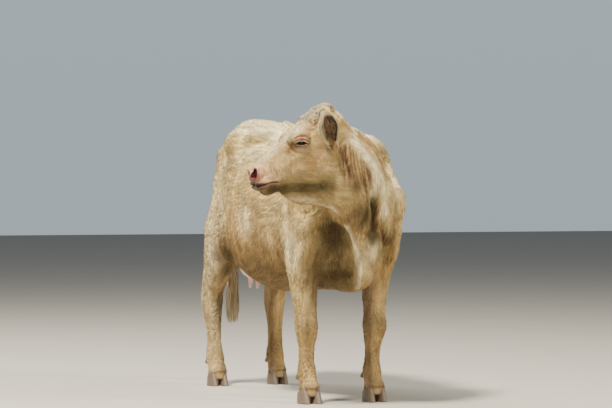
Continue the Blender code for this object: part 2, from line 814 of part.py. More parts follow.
def mouth_cutter(frame):
    """A thin blade along the lips, from one corner round the muzzle to the other."""
    rings = []
    corner, reach, half = 0.392, 0.086, 0.070
    for step in range(21):
        angle = math.pi * (step / 20 - 0.5)
        outward = Vector((math.cos(angle), math.sin(angle) * 1.25, 0)).normalized()
        droop = -0.060 - 0.054 * (1 - math.cos(angle)) ** 1.1
        line = Vector((corner + reach * math.cos(angle), half * math.sin(angle), droop))
        if abs(step - 10) == 10:
            line.x -= 0.006
        up = Vector((0, 0, 1))
        rings.append(
            [
                frame @ (line + outward * 0.030 + up * 0.0050),
                frame @ (line + outward * 0.030 - up * 0.0050),
                frame @ (line - outward * 0.013 - up * 0.0008),
                frame @ (line - outward * 0.013 + up * 0.0008),
            ]
        )
    return new_object("blade", loft(rings))


def nostril_cutter(frame, sign):
    """An oval nostril that leads inward and back."""
    hole = ball((0, 0, 0), (0.032, 0.0125, 0.0200), fineness=2)
    hole.transform(
        frame
        @ Matrix.Translation(mirrored((0.446, 0.048, -0.022), sign))
        @ Matrix.Rotation(sign * math.radians(28), 4, "Z")
        @ Matrix.Rotation(sign * math.radians(-24), 4, "X")
    )
    return new_object("hole", hole)


def eye_frame_ball(frame, sign, radius):
    centre = mirrored(EYE_CENTRE, sign)
    return ball(centre, (radius, radius, radius), frame, fineness=2)


def eye_back_cut(frame, sign, set_back):
    """A slab behind the eyeball, which takes away the half that never shows."""
    gaze = (frame.to_3x3() @ mirrored(EYE_GAZE, sign)).normalized()
    centre = frame @ mirrored(EYE_CENTRE, sign)
    return slab(centre - gaze * set_back, gaze, frame.to_3x3() @ Vector((1, 0, 0)), 0.06, 0.06, 0.08)


def add_eyes(head, frame):
    """The slit between the lids, a socket behind it, and each eyeball as its own node."""
    almonds, sockets = [], []
    for sign in (1, -1):
        almonds.append(
            lens_cutter(
                frame, mirrored(EYE_CENTRE, sign), mirrored(EYE_GAZE, sign),
                LID_SLOPE, 0.0215, 0.0105, 0.0085, 0.052,
            )
        )
        socket = new_object("socket", eye_frame_ball(frame, sign, EYE_RADIUS + 0.0005))
        combine(socket, "DIFFERENCE", [eye_back_cut(frame, sign, 0.0053)])
        sockets.append(socket)
    combine(head, "DIFFERENCE", almonds)
    combine(head, "DIFFERENCE", sockets)
    for sign, side in ((1, "left"), (-1, "right")):
        eye = new_object("eye_" + side, eye_frame_ball(frame, sign, EYE_RADIUS))
        combine(eye, "DIFFERENCE", [eye_back_cut(frame, sign, 0.0048)])
        dress(eye, "eye")


def build_head(frame):
    """The head with ears, lids, nostrils, lips and tuft, cut clear of the neck."""
    head = joined("head", head_meshes(frame) + [neck_mesh(), dewlap_mesh()])
    melt(head, HEAD_VOXEL, 5, HEAD_TRIANGLES)
    combine(head, "INTERSECT", [head_prism((0, 0, 0))])
    holes = [mouth_cutter(frame)]
    for sign in (1, -1):
        holes.append(nostril_cutter(frame, sign))
    combine(head, "DIFFERENCE", holes)
    add_eyes(head, frame)
    combine(head, "UNION", [new_object("lock", mesh) for mesh in tuft_meshes(frame)])
    for sign, side in ((1, "left"), (-1, "right")):
        ear = new_object("ear_" + side, ear_mesh(frame, sign))
        cut_clear(ear, head)
        dress(ear, "coat")
    dress(head, "coat")
    return head


def head_prism(shift):
    """A block round the head: it follows the back of the jaw, seen from the cow's left."""
    outline = ((-0.200, 1.540), (-0.108, 1.170), (-0.165, 0.800), (-0.800, 0.700), (-0.850, 1.600))
    rings = []
    for y in (-1.40, -0.770):
        rings.append([Vector((x, y, z)) + Vector(shift) for x, z in outline])
    return new_object("prism", loft(rings))


def build_body(frame):
    """Trunk, neck and legs as one skin."""
    meshes = [trunk_mesh(), neck_mesh(), dewlap_mesh()]
    for sign in (1, -1):
        meshes.append(leg_mesh(FORELEG_SECTIONS, sign))
        meshes.append(leg_mesh(HINDLEG_SECTIONS, sign))
    meshes += body_masses(BODY_MASSES)
    meshes += head_meshes(frame)
    body = joined("torso", meshes)
    melt(body, BODY_VOXEL, 12, BODY_TRIANGLES)
    combine(body, "DIFFERENCE", [head_prism((1.5 * GAP, 1.5 * GAP, 0))])
    return body


def udder_object(torso):
    """A small udder with four teats, cut to the belly and drawn clear of it."""
    meshes = [
        ball((0.055, 0.480, 0.665), (0.075, 0.125, 0.075)),
        ball((-0.055, 0.480, 0.665), (0.075, 0.125, 0.075)),
        ball((0.0, 0.545, 0.700), (0.085, 0.090, 0.090)),
    ]
    for x in (0.058, -0.058):
        for y in (0.425, 0.530):
            root = Vector((x, y, 0.620))
            rings = []
            for t, radius in ((0.0, 0.017), (0.4, 0.0135), (0.8, 0.0115), (1.0, 0.007)):
                centre = root + Vector((0.1 * x, 0, -0.075)) * t
                rings.append(
                    section_ring(
                        centre, Vector((1, 0, 0)), Vector((0, 1, 0)), radius, radius, radius, 2, 2, 12
                    )
                )
            meshes.append(loft(rings))
    udder = joined("udder", meshes)
    melt(udder, 0.007, 3, UDDER_TRIANGLES)
    cut_clear(udder, torso)
    dress(udder, "udder")
    return udder


def build_tail(torso):
    tail = new_object("tail", tail_mesh())
    cut_clear(tail, torso)
    dress(tail, "coat")
    core, locks = switch_meshes()
    switch = new_object("tail_switch", core[0])
    combine(switch, "UNION", [new_object("lock", mesh) for mesh in locks])
    combine(
        switch,
        "DIFFERENCE",
        [slab((0, 0.88, SWITCH["top"] + 0.2), (0, 0, 1), (1, 0, 0), 0.3, 0.3, 0.2 + GAP)],
    )
    dress(switch, "switch")
    return tail, switch


def build_legs(body):
    """Parts each leg from the trunk, then its lower half at knee or hock, and shoes it."""
    for sign, side in ((1, "left"), (-1, "right")):
        fore_cut = (
            sorted((sign * 0.095, sign * 0.420)), (-0.760, -0.280),
            (sign * 0.205, -0.505, 0.665), sign * 0.60, -0.25,
        )
        hind_cut = (
            sorted((sign * 0.020, sign * 0.450)), (0.465, 1.100),
            (sign * 0.200, 0.600, 0.715), sign * 0.25, 0.20,
        )
        rows = (
            ("foreleg_", fore_cut, 0.400, "forecannon_", FORE_FOOT, FORE_CLAW, "fore"),
            ("hindleg_", hind_cut, 0.470, "hindcannon_", HIND_FOOT, HIND_CLAW, "hind"),
        )
        for upper_name, cut, joint_z, lower_name, foot, size, which in rows:
            upper = part_below(body, upper_name + side, cut)
            level = (cut[0], cut[1], (0, 0, joint_z), 0.0, 0.0)
            lower = part_below(upper, lower_name + side, level)
            shoe_leg(lower, foot, size, sign, side, which)
            for leg in (upper, lower):
                dress(leg, "coat")


def shoe_leg(leg, foot, size, sign, side, which):
    slope = Vector((0, (size["toe"] - size["heel"]) / (0.90 * size["length"] - 0.030), 1.0))
    height = SOLE_LEVEL + (size["toe"] + size["heel"]) / 2 + 1.3 * GAP
    centre = Vector((sign * foot[0], foot[1] + 0.015, height))
    combine(leg, "DIFFERENCE", [slab(centre, slope, (1, 0, 0), 0.2, 0.2, 0.3)])
    for inner, place in ((False, "outer"), (True, "inner")):
        claw_object(f"claw_{which}_{side}_{place}", foot, size, sign, inner)
        dewclaw_object(
            f"dewclaw_{which}_{side}_{place}", foot[0], foot[1] + 0.040, SOLE_LEVEL + 0.135, sign, inner, leg
        )


def settle_on_origin():
    """Moves every node so that the middle of the cow's box stands over the origin."""
    corners = []
    for thing in bpy.context.scene.objects:
        corners += [thing.matrix_world @ vert.co for vert in thing.data.vertices]
    low = [min(point[k] for point in corners) for k in range(3)]
    high = [max(point[k] for point in corners) for k in range(3)]
    shift = Vector((-(low[0] + high[0]) / 2, -(low[1] + high[1]) / 2, -SOLE_LEVEL))
    for thing in bpy.context.scene.objects:
        thing.data.transform(Matrix.Translation(shift))


def shade(thing):
    thing.data.shade_smooth()
    thing.data.set_sharp_from_angle(angle=math.radians(50))


def main():
    clear_scene()
    frame = head_frame()
    build_head(frame)
    body = build_body(frame)
    build_legs(body)
    udder_object(body)
    build_tail(body)
    chest = (
        Vector((0.0, -0.735, 1.05)), Vector((0.10, 1.0, -0.32)), (1, 0, 0), 0.5, 0.7, 0.6,
    )
    neck = part_by(body, "neck", chest)
    for thing in (body, neck):
        dress(thing, "coat")
    settle_on_origin()
    for thing in bpy.context.scene.objects:
        shade(thing)


main()
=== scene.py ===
# A life-size, still model of a cream beef cow: its skin, short coat, eyes, ears and horn.
# It is drawn facing -Y with its left at +X and its soles at soleLevel, in metres, then moved onto the frame.

import math

import bmesh
import bpy
import numpy as np
from mathutils import Matrix, Vector
from mathutils.bvhtree import BVHTree


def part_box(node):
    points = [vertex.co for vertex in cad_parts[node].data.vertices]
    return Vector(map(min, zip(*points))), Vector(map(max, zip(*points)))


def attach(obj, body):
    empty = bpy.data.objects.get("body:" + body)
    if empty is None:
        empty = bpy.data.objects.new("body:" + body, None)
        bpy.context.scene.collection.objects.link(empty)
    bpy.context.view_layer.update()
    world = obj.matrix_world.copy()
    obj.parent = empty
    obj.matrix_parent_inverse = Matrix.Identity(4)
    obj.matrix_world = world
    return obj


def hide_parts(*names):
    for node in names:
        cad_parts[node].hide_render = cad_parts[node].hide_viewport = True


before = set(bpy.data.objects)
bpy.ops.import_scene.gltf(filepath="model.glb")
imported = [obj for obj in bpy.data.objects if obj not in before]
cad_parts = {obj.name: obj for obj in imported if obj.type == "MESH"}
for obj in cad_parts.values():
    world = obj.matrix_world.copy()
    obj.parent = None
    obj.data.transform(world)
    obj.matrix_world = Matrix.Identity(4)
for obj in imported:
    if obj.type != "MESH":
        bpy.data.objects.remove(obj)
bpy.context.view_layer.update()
print("frame loaded")

soleLevel = 0.03  # the drawing's floor
foreFoot = (0.17, -0.548)
hindFoot = (0.168, 0.726)
foreClaw = {"length": 0.118, "width": 0.055, "toe": 0.072, "heel": 0.042, "slit": 0.005}
hindClaw = {"length": 0.112, "width": 0.051, "toe": 0.07, "heel": 0.04, "slit": 0.005}

# the frame stands over the origin, so the two fore claws say how far the drawing moves
leftClaw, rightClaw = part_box("claw_fore_left_outer"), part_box("claw_fore_right_outer")
toeLine = foreFoot[1] - 0.965 * foreClaw["length"] / 2
shift = Vector(((leftClaw[1].x + rightClaw[0].x) / 2, leftClaw[0].y - toeLine, -soleLevel))
print("drawing moves by", [round(v, 4) for v in shift])


# Plain shapes

leftward, backward, upward = Vector((1, 0, 0)), Vector((0, 1, 0)), Vector((0, 0, 1))


def smoothRows(rows, count):  # a cubic through all rows of a table
    table = np.array(rows, float)
    steps = np.linalg.norm(np.diff(table[:, :3], axis=0), axis=1) + 0.02
    keys = np.concatenate([[0.0], np.cumsum(steps)])
    slopes = np.gradient(table, keys, axis=0)
    at = np.linspace(0.0, keys[-1], count)
    span = np.clip(np.searchsorted(keys, at, side="right") - 1, 0, len(keys) - 2)
    wide = (keys[span + 1] - keys[span])[:, None]
    t = (at - keys[span])[:, None] / wide
    first = (2 * t**3 - 3 * t**2 + 1) * table[span] + (t**3 - 2 * t**2 + t) * wide * slopes[span]
    second = (3 * t**2 - 2 * t**3) * table[span + 1] + (t**3 - t**2) * wide * slopes[span + 1]
    return first + second


def squared(value, power):
    return math.copysign(abs(value) ** (2.0 / power), value)


def sectionRing(centre, side, up, halfWidth, rise, drop, above, below, count):
    ring = []
    for step in range(count):
        angle = 2 * math.pi * step / count
        reach, power = (rise, above) if math.cos(angle) >= 0 else (drop, below)
        across, high = squared(math.sin(angle), power), squared(math.cos(angle), power)
        ring.append(centre + side * (halfWidth * across) + up * (reach * high))
    return ring


def roundRing(centre, side, up, radius, count):
    return sectionRing(centre, side, up, radius, radius, radius, 2, 2, count)


def loftMesh(rings, name="loft"):  # closed at both ends by fans
    shape = bmesh.new()
    loops = [[shape.verts.new(point) for point in ring] for ring in rings]
    for first, second in zip(loops, loops[1:]):
        for i in range(len(first)):
            j = (i + 1) % len(first)
            shape.faces.new((first[i], first[j], second[j], second[i]))
    for loop in (loops[0], loops[-1]):
        middle = shape.verts.new(sum((v.co for v in loop), Vector()) / len(loop))
        for i in range(len(loop)):
            shape.faces.new((loop[i], loop[(i + 1) % len(loop)], middle))
    return finishMesh(shape, name)


def finishMesh(shape, name):
    bmesh.ops.recalc_face_normals(shape, faces=shape.faces)
    mesh = bpy.data.meshes.new(name)
    shape.to_mesh(mesh)
    shape.free()
    return mesh


def ballMesh(centre, halfSizes, place=Matrix.Identity(4), fineness=4):
    shape = bmesh.new()
    matrix = place @ Matrix.Translation(centre) @ Matrix.Diagonal((*halfSizes, 1.0))
    bmesh.ops.create_icosphere(shape, subdivisions=fineness, radius=1.0, matrix=matrix)
    return finishMesh(shape, "ball")


def joinedMesh(meshes, name):
    shape = bmesh.new()
    for mesh in meshes:
        shape.from_mesh(mesh)
    whole = bpy.data.meshes.new(name)
    shape.to_mesh(whole)
    shape.free()
    return whole


def meshFrom(name, verts, faces):
    mesh = bpy.data.meshes.new(name)
    mesh.from_pydata(verts, [], faces)
    shape = bmesh.new()
    shape.from_mesh(mesh)
    bmesh.ops.recalc_face_normals(shape, faces=shape.faces)
    shape.to_mesh(mesh)
    shape.free()
    mesh.shade_smooth()
    return mesh


def newObject(name, mesh):
    thing = bpy.data.objects.new(name, mesh)
    bpy.context.scene.collection.objects.link(thing)
    return thing


def evaluated(thing, name):
    graph = bpy.context.evaluated_depsgraph_get()
    made = bpy.data.meshes.new_from_object(thing.evaluated_get(graph))
    made.name = name
    return made


def removeObject(thing):
    bpy.data.objects.remove(thing, do_unlink=True)


def pathRings(rows, sideOf, count):  # rings square to the path of the rows' first three columns
    points = [Vector(row[:3]) for row in rows]
    rings = []
    for i, row in enumerate(rows):
        onward = (points[min(i + 1, len(points) - 1)] - points[max(i - 1, 0)]).normalized()
        side, up = sideOf(onward)
        rings.append(sectionRing(points[i], side, up, *row[3:], count))
    return rings


def tubeMesh(form, sideOf, ringRow, rows="rows"):
    smooth = [ringRow(*row) for row in smoothRows(form[rows], form["rings"])]
    return loftMesh(pathRings(smooth, sideOf, form["around"]))


def profileMesh(form, onward, side, place=Matrix.Identity(4)):  # rings square to one straight line
    rings = []
    for along, top, bottom, half, wide, above, below in smoothRows(form["rows"], form["rings"]):
        centre = onward * float(along) + upward * float(wide)
        sizes = half, top - wide, wide - bottom, above, below, form["around"]
        rings.append([place @ point for point in sectionRing(centre, side, upward, *sizes)])
    return loftMesh(rings)


# Arrays of a mesh's points

def gathered(items, label, width=1, kind=float):  # one number or row of each item
    flat = np.empty(len(items) * width, kind)
    items.foreach_get(label, flat)
    return flat.reshape(-1, width) if width > 1 else flat


def pointsOf(mesh):
    return gathered(mesh.vertices, "co", 3)


def normalsOf(mesh):
    return gathered(mesh.vertex_normals, "vector", 3)


def cornersOf(mesh):
    return gathered(mesh.loops, "vertex_index", kind=np.int64)


def edgeEnds(mesh):  # both ways along each edge
    edges = gathered(mesh.edges, "vertices", 2, np.int64)
    return np.concatenate([edges, edges[:, ::-1]]).T


def setPoints(mesh, points):
    mesh.vertices.foreach_set("co", np.asarray(points, float).ravel())
    mesh.update()


def relaxMesh(mesh, rounds, weights=None):  # smooths without shrinking
    points = pointsOf(mesh)
    count = len(points)
    first, second = edgeEnds(mesh)
    valence = np.maximum(np.bincount(first, minlength=count), 1)[:, None]
    share = 1.0 if weights is None else weights[:, None]
    for strength in (0.62, -0.64) * rounds:
        mean = np.stack([np.bincount(first, points[second, k], count) for k in range(3)], axis=1)
        points = points + strength * share * (mean / valence - points)
    setPoints(mesh, points)


def fade(values, low, high):  # 0 below low, 1 above high, smooth between
    t = np.clip((np.asarray(values, float) - low) / (high - low), 0, 1)
    return t * t * (3 - 2 * t)


def hump(values, middle, half):  # 1 at the middle, falling off to both sides
    return np.exp(-(((values - middle) / half) ** 2))


def mound(points, middle, half):  # the same round a place
    return np.exp(-(((points - middle) / half) ** 2).sum(1))


def wander(points, scale, seed):  # a soft, even noise from crossed waves, about -1 to 1
    draw = np.random.default_rng(seed)
    total = np.zeros(len(points))
    for _ in range(7):
        wave = draw.normal(size=3)
        wave *= scale * draw.uniform(0.7, 1.5) / np.linalg.norm(wave)
        total += np.sin(points @ wave + draw.uniform(0, 6.28)) / 2.6
    return total


def pathDistance(points, path):  # distance to a bent line, and the share of its length there
    path = np.asarray(path, float)
    best = np.full(len(points), 1e9)
    share = np.zeros(len(points))
    lengths = np.linalg.norm(np.diff(path, axis=0), axis=1)
    done = 0.0
    for start, end, length in zip(path, path[1:], lengths):
        onward = (end - start) / length
        along = np.clip((points - start) @ onward, 0, length)
        gap = np.linalg.norm(points - start - along[:, None] * onward, axis=1)
        nearer = gap < best
        best[nearer] = gap[nearer]
        share[nearer] = (done + along[nearer]) / lengths.sum()
        done += length
    return best, share


def furrow(points, path, width, depth, ends=0.15):  # how far a groove pushes each point in
    gap, share = pathDistance(points, path)
    return depth * hump(gap, 0, width) * fade(np.minimum(share, 1 - share), 0.0, ends)


# The body's masses

trunk = {
    "rings": 60, "around": 64,
    # along y, top, bottom, half width, widest level, squareness above and below
    "rows": (
        (-0.8, 1.06, 0.79, 0.1, 0.93, 2.0, 2.0),
        (-0.74, 1.19, 0.67, 0.17, 0.96, 2.0, 2.0),
        (-0.62, 1.305, 0.59, 0.232, 0.98, 2.0, 2.1),
        (-0.47, 1.35, 0.57, 0.252, 0.98, 1.8, 2.2),
        (-0.28, 1.348, 0.57, 0.285, 0.95, 2.0, 2.2),
        (-0.08, 1.342, 0.552, 0.335, 0.92, 2.1, 2.2),
        (0.08, 1.35, 0.545, 0.348, 0.915, 2.1, 2.2),
        (0.22, 1.37, 0.565, 0.318, 0.93, 2.2, 2.2),
        (0.34, 1.392, 0.61, 0.275, 0.98, 2.4, 2.1),
        (0.46, 1.408, 0.69, 0.234, 1.03, 2.4, 2.0),
        (0.6, 1.412, 0.8, 0.212, 1.08, 2.2, 2.0),
        (0.72, 1.38, 0.89, 0.182, 1.12, 2.1, 2.0),
        (0.8, 1.32, 0.97, 0.14, 1.14, 2.0, 2.0),
        (0.845, 1.23, 1.05, 0.08, 1.14, 2.0, 2.0),
    ),
}
neck = {
    "rings": 34, "around": 48,
    # centre x, y, z, up to the crest, down to the throat, half width, squareness above and below
    "rows": (
        (0.0, -0.44, 1.06, 0.27, 0.34, 0.205, 2.0, 1.9),
        (-0.005, -0.62, 1.075, 0.252, 0.35, 0.192, 2.0, 1.8),
        (-0.035, -0.76, 1.11, 0.222, 0.28, 0.155, 2.0, 1.8),
        (-0.1, -0.86, 1.15, 0.2, 0.225, 0.125, 2.0, 1.9),
        (-0.19, -0.91, 1.195, 0.18, 0.17, 0.106, 2.0, 2.0),
        (-0.28, -0.912, 1.235, 0.16, 0.15, 0.096, 2.0, 2.0),
    ),
}
dewlap = {
    "rings": 40, "around": 22,
    # centre x, y, z, half height, half thickness
    "rows": (
        (-0.462, -0.902, 1.05, 0.01, 0.012),
        (-0.4, -0.895, 1.032, 0.034, 0.018),
        (-0.32, -0.89, 1.026, 0.042, 0.021),
        (-0.23, -0.88, 1.02, 0.048, 0.024),
        (-0.15, -0.855, 0.99, 0.06, 0.026),
        (-0.085, -0.815, 0.93, 0.075, 0.028),
        (-0.04, -0.78, 0.85, 0.08, 0.03),
        (-0.015, -0.75, 0.76, 0.08, 0.034),
        (0.0, -0.715, 0.668, 0.074, 0.044),
        (0.0, -0.61, 0.622, 0.05, 0.045),
    ),
}
legs = {
    "rings": 60, "around": 32,
    # outward, y, z, half width across, half depth fore and aft, squareness
    "fore": (
        (0.14, -0.47, 1.2, 0.075, 0.12, 2.0),
        (0.18, -0.535, 1.07, 0.09, 0.155, 2.0),
        (0.195, -0.58, 0.95, 0.088, 0.148, 2.0),
        (0.2, -0.555, 0.84, 0.085, 0.135, 2.0),
        (0.198, -0.52, 0.74, 0.08, 0.115, 2.1),
        (0.19, -0.508, 0.65, 0.07, 0.088, 2.1),
        (0.184, -0.51, 0.54, 0.058, 0.066, 2.2),
        (0.18, -0.518, 0.45, 0.052, 0.056, 2.3),
        (0.178, -0.522, 0.4, 0.056, 0.06, 2.5),
        (0.176, -0.518, 0.35, 0.048, 0.051, 2.4),
        (0.174, -0.512, 0.295, 0.038, 0.043, 2.3),
        (0.172, -0.508, 0.228, 0.037, 0.042, 2.3),
        (0.171, -0.508, 0.18, 0.045, 0.049, 2.3),
        (0.17, -0.524, 0.135, 0.043, 0.044, 2.3),
        (0.17, -0.538, 0.1, 0.051, 0.054, 2.4),
        (0.17, -0.542, 0.06, 0.051, 0.054, 2.4),
    ),
    "hind": (
        (0.11, 0.5, 1.22, 0.09, 0.19, 2.0),
        (0.118, 0.56, 1.08, 0.096, 0.222, 2.0),
        (0.14, 0.57, 0.95, 0.103, 0.218, 2.0),
        (0.165, 0.59, 0.84, 0.106, 0.18, 2.0),
        (0.178, 0.645, 0.73, 0.084, 0.134, 2.0),
        (0.18, 0.715, 0.625, 0.064, 0.096, 2.1),
        (0.178, 0.775, 0.545, 0.053, 0.078, 2.2),
        (0.176, 0.795, 0.48, 0.053, 0.071, 2.4),
        (0.174, 0.79, 0.41, 0.045, 0.058, 2.4),
        (0.172, 0.78, 0.325, 0.038, 0.047, 2.3),
        (0.17, 0.775, 0.24, 0.037, 0.044, 2.3),
        (0.169, 0.772, 0.185, 0.045, 0.049, 2.3),
        (0.168, 0.752, 0.135, 0.043, 0.044, 2.3),
        (0.168, 0.736, 0.1, 0.05, 0.054, 2.4),
        (0.168, 0.732, 0.06, 0.05, 0.054, 2.4),
    ),
}
bodyMasses = {
    "shoulder point": (0.195, -0.675, 0.985, 0.072, 0.085, 0.11),
    "shoulder blade": (0.14, -0.51, 1.11, 0.122, 0.15, 0.215),
    "triceps": (0.225, -0.48, 0.87, 0.062, 0.13, 0.13),
    "hip bone": (0.166, 0.38, 1.278, 0.08, 0.14, 0.085),
    "loin": (0.09, 0.22, 1.3, 0.12, 0.24, 0.06),
    "thigh": (0.13, 0.58, 1.02, 0.092, 0.21, 0.23),
    "buttock": (0.088, 0.735, 1.07, 0.078, 0.1, 0.19),
    "pin bone": (0.1, 0.795, 1.23, 0.045, 0.052, 0.05),
    "stifle": (0.196, 0.44, 0.81, 0.068, 0.1, 0.12),
    "flank fold": (0.17, 0.37, 0.745, 0.045, 0.13, 0.09),
    "hock point": (0.176, 0.866, 0.545, 0.023, 0.028, 0.044),
    "sacrum": (0.0, 0.6, 1.372, 0.06, 0.17, 0.045),
    "brisket": (0.0, -0.64, 0.65, 0.11, 0.13, 0.085),
}
tail = {
    "rings": 44, "around": 20,
    # x, y, z, half width, half depth
    "rows": (
        (0.0, 0.69, 1.352, 0.042, 0.036),
        (0.0, 0.78, 1.35, 0.04, 0.035),
        (0.0, 0.848, 1.3, 0.035, 0.031),
        (-0.003, 0.876, 1.21, 0.03, 0.027),
        (-0.01, 0.885, 1.08, 0.025, 0.023),
        (-0.018, 0.882, 0.94, 0.021, 0.019),
        (-0.026, 0.878, 0.81, 0.018, 0.017),
        (-0.03, 0.876, 0.69, 0.014, 0.013),
    ),
}
head = {
    "poll": Vector((-0.272, -0.905, 1.435)), "heading": 94.0, "pitch": 41.0,
    "rings": 60, "around": 64,
    # in the head's frame, forward, left, up: forward, top, bottom, half width, widest level, squareness
    "rows": (
        (-0.05, -0.03, -0.23, 0.075, -0.12, 2.0, 2.0),
        (0.0, 0.0, -0.275, 0.09, -0.11, 2.2, 2.0),
        (0.06, 0.014, -0.303, 0.104, -0.11, 2.4, 2.0),
        (0.125, 0.016, -0.315, 0.112, -0.105, 2.5, 2.0),
        (0.19, 0.013, -0.303, 0.106, -0.1, 2.4, 2.0),
        (0.26, 0.008, -0.268, 0.088, -0.098, 2.3, 2.0),
        (0.325, 0.01, -0.215, 0.074, -0.09, 2.3, 2.1),
        (0.38, 0.012, -0.172, 0.068, -0.078, 2.4, 2.2),
        (0.426, 0.004, -0.152, 0.067, -0.07, 2.4, 2.2),
        (0.45, -0.018, -0.122, 0.054, -0.068, 2.2, 2.2),
    ),
}
headMasses = {
    "poll": (-0.005, 0.0, -0.03, 0.05, 0.08, 0.04),
    "orbit": (0.184, 0.078, -0.04, 0.062, 0.042, 0.054),
    "cheek": (0.135, 0.064, -0.19, 0.092, 0.05, 0.105),
    "nose": (0.408, 0.0, -0.048, 0.06, 0.072, 0.056),
    "nostril wing": (0.424, 0.043, -0.026, 0.036, 0.031, 0.038),
    "upper lip": (0.424, 0.036, -0.074, 0.054, 0.042, 0.038),
    "chin": (0.418, 0.0, -0.118, 0.048, 0.05, 0.036),
    "jaw angle": (0.125, 0.058, -0.245, 0.062, 0.038, 0.062),
}
eye = {
    "centre": (0.192, 0.092, -0.045), "radius": 0.0225, "gaze": Vector((0.26, 0.95, 0.08)),
    "lidThickness": 0.0065, "slope": 38.0, "halfLength": 0.0255, "above": 0.0112, "below": 0.0092,
}
ear = {
    "root": (0.084, 0.09, -0.148), "length": 0.212, "width": 0.108,
    "axis": {1: Vector((-0.22, 0.6, 0.77)), -1: Vector((0.03, 0.65, 0.76))},
    "opening": {1: Vector((0.45, 0.78, -0.46)), -1: Vector((0.8, 0.3, -0.35))},
}


def headPlace():
    heading, pitch = math.radians(head["heading"]), math.radians(head["pitch"])
    level = Vector((-math.sin(heading), -math.cos(heading), 0.0))
    forward = level * math.cos(pitch) - Vector((0, 0, math.sin(pitch)))
    left = Vector((0, 0, 1)).cross(level)
    place = Matrix((forward, left, forward.cross(left))).transposed().to_4x4()
    place.translation = head["poll"]
    return place


headFrame = headPlace()
headTurn = np.array(headFrame.to_3x3())
headOrigin = np.array(head["poll"])


def intoHead(points):
    return (points - headOrigin) @ headTurn


def mirrored(values, sign):
    return Vector((values[0], sign * values[1], values[2]))


def uprightSection(onward):
    side = onward.cross(upward).normalized()
    return side, side.cross(onward).normalized()


def legSection(onward):
    return leftward, onward.cross(leftward).normalized()


def dewlapSection(onward):
    steep = min(1.0, abs(onward.z) * 1.2)
    out = Vector((-0.3 * steep, -steep, -(1.1 - steep)))
    side = out.cross(onward).normalized()
    return side, onward.cross(side).normalized()


def trunkMesh():
    return profileMesh(trunk, backward, leftward)


def neckMesh():
    def ringRow(x, y, z, rise, drop, half, above, below):
        return x, y, z, half, rise, drop, above, below
    return tubeMesh(neck, uprightSection, ringRow)


def dewlapMesh():
    return tubeMesh(dewlap, dewlapSection, lambda x, y, z, high, thick: (x, y, z, thick, high, high, 2, 2))


def legMesh(which, sign):
    def ringRow(out, y, z, across, deep, square):
        return sign * out, y, z, across, deep, deep, square, square
    return tubeMesh(legs, legSection, ringRow, which)


def tailMesh():
    return tubeMesh(tail, legSection, lambda x, y, z, wide, deep: (x, y, z, wide, deep, deep, 2, 2))


def massMeshes(table, place=Matrix.Identity(4), sideAxis=0):
    meshes = []
    for row in table.values():
        centre = Vector(row[:3])
        meshes.append(ballMesh(centre, row[3:], place))
        if centre[sideAxis]:
            centre[sideAxis] = -centre[sideAxis]
            meshes.append(ballMesh(centre, row[3:], place))
    return meshes


def earPlace(sign):  # x across, y towards the opening, z from root to tip
    axis = mirrored(ear["axis"][sign], sign).normalized()
    opening = mirrored(ear["opening"][sign], sign)
    opening = (opening - axis * axis.dot(opening)).normalized()
    local = Matrix((opening.cross(axis), opening, axis)).transposed().to_4x4()
    local.translation = mirrored(ear["root"], sign)
    return headFrame @ local


def earStub(sign):
    place = earPlace(sign)
    rings = []
    for height, radius in ((-0.05, 0.038), (-0.015, 0.032), (0.004, 0.026), (0.016, 0.019)):
        ring = roundRing(Vector((0, -0.004, height)), leftward, backward, radius, 24)
        rings.append([place @ point for point in ring])
    return loftMesh(rings)


def headMeshes():
    meshes = [profileMesh(head, leftward, backward, headFrame)] + massMeshes(headMasses, headFrame, 1)
    for sign in (1, -1):
        meshes.append(earStub(sign))
        radius = eye["radius"] + eye["lidThickness"]
        meshes.append(ballMesh(mirrored(eye["centre"], sign), (radius,) * 3, headFrame))
    return meshes


# One skin over all of it, finer towards the head

skin = {
    "voxel": 0.0134, "rounds": 12, "fineVoxel": 0.0032, "fineRounds": 12,
    "sunk": {"body": 0.0042, "legs": 0.003, "head": 0.0022},  # how deep the skin lies in the solids
}


def melted(meshes, voxel, rounds, name):
    thing = newObject(name, joinedMesh(meshes, name))
    remesh = thing.modifiers.new("melt", "REMESH")
    remesh.mode = "VOXEL"
    remesh.voxel_size = voxel
    mesh = evaluated(thing, name)
    removeObject(thing)
    relaxMesh(mesh, rounds)
    return mesh


def keepLargest(mesh):
    shape = bmesh.new()
    shape.from_mesh(mesh)
    seen, bodies = set(), []
    for start in shape.verts:
        if start in seen:
            continue
        body, edge = {start}, [start]
        while edge:
            for link in edge.pop().link_edges:
                for vert in link.verts:
                    if vert not in body:
                        body.add(vert)
                        edge.append(vert)
        seen |= body
        bodies.append(body)
    largest = max(bodies, key=len)
    bmesh.ops.delete(shape, geom=[v for b in bodies if b is not largest for v in b], context="VERTS")
    shape.to_mesh(mesh)
    shape.free()


def refine(mesh, wanted):  # halves the faces whose centres are wanted
    shape = bmesh.new()
    shape.from_mesh(mesh)
    centres = np.array([face.calc_center_median() for face in shape.faces])
    edges = set()
    for face, yes in zip(shape.faces, wanted(centres)):
        if yes:
            edges.update(face.edges)
    bmesh.ops.subdivide_edges(shape, edges=list(edges), cuts=1, use_grid_fill=True)
    shape.to_mesh(mesh)
    shape.free()


def headShare(points, reach=0.0):  # 1 on the head, 0 on the neck behind it
    place = intoHead(points)
    back = place[:, 0] + 0.35 * (place[:, 2] + 0.16)
    low = fade(place[:, 2], -0.42 - reach, -0.36 - reach)
    return fade(back, -0.075 - reach, 0.005 - reach) * low * fade(-np.abs(place[:, 1]), -0.3, -0.22)


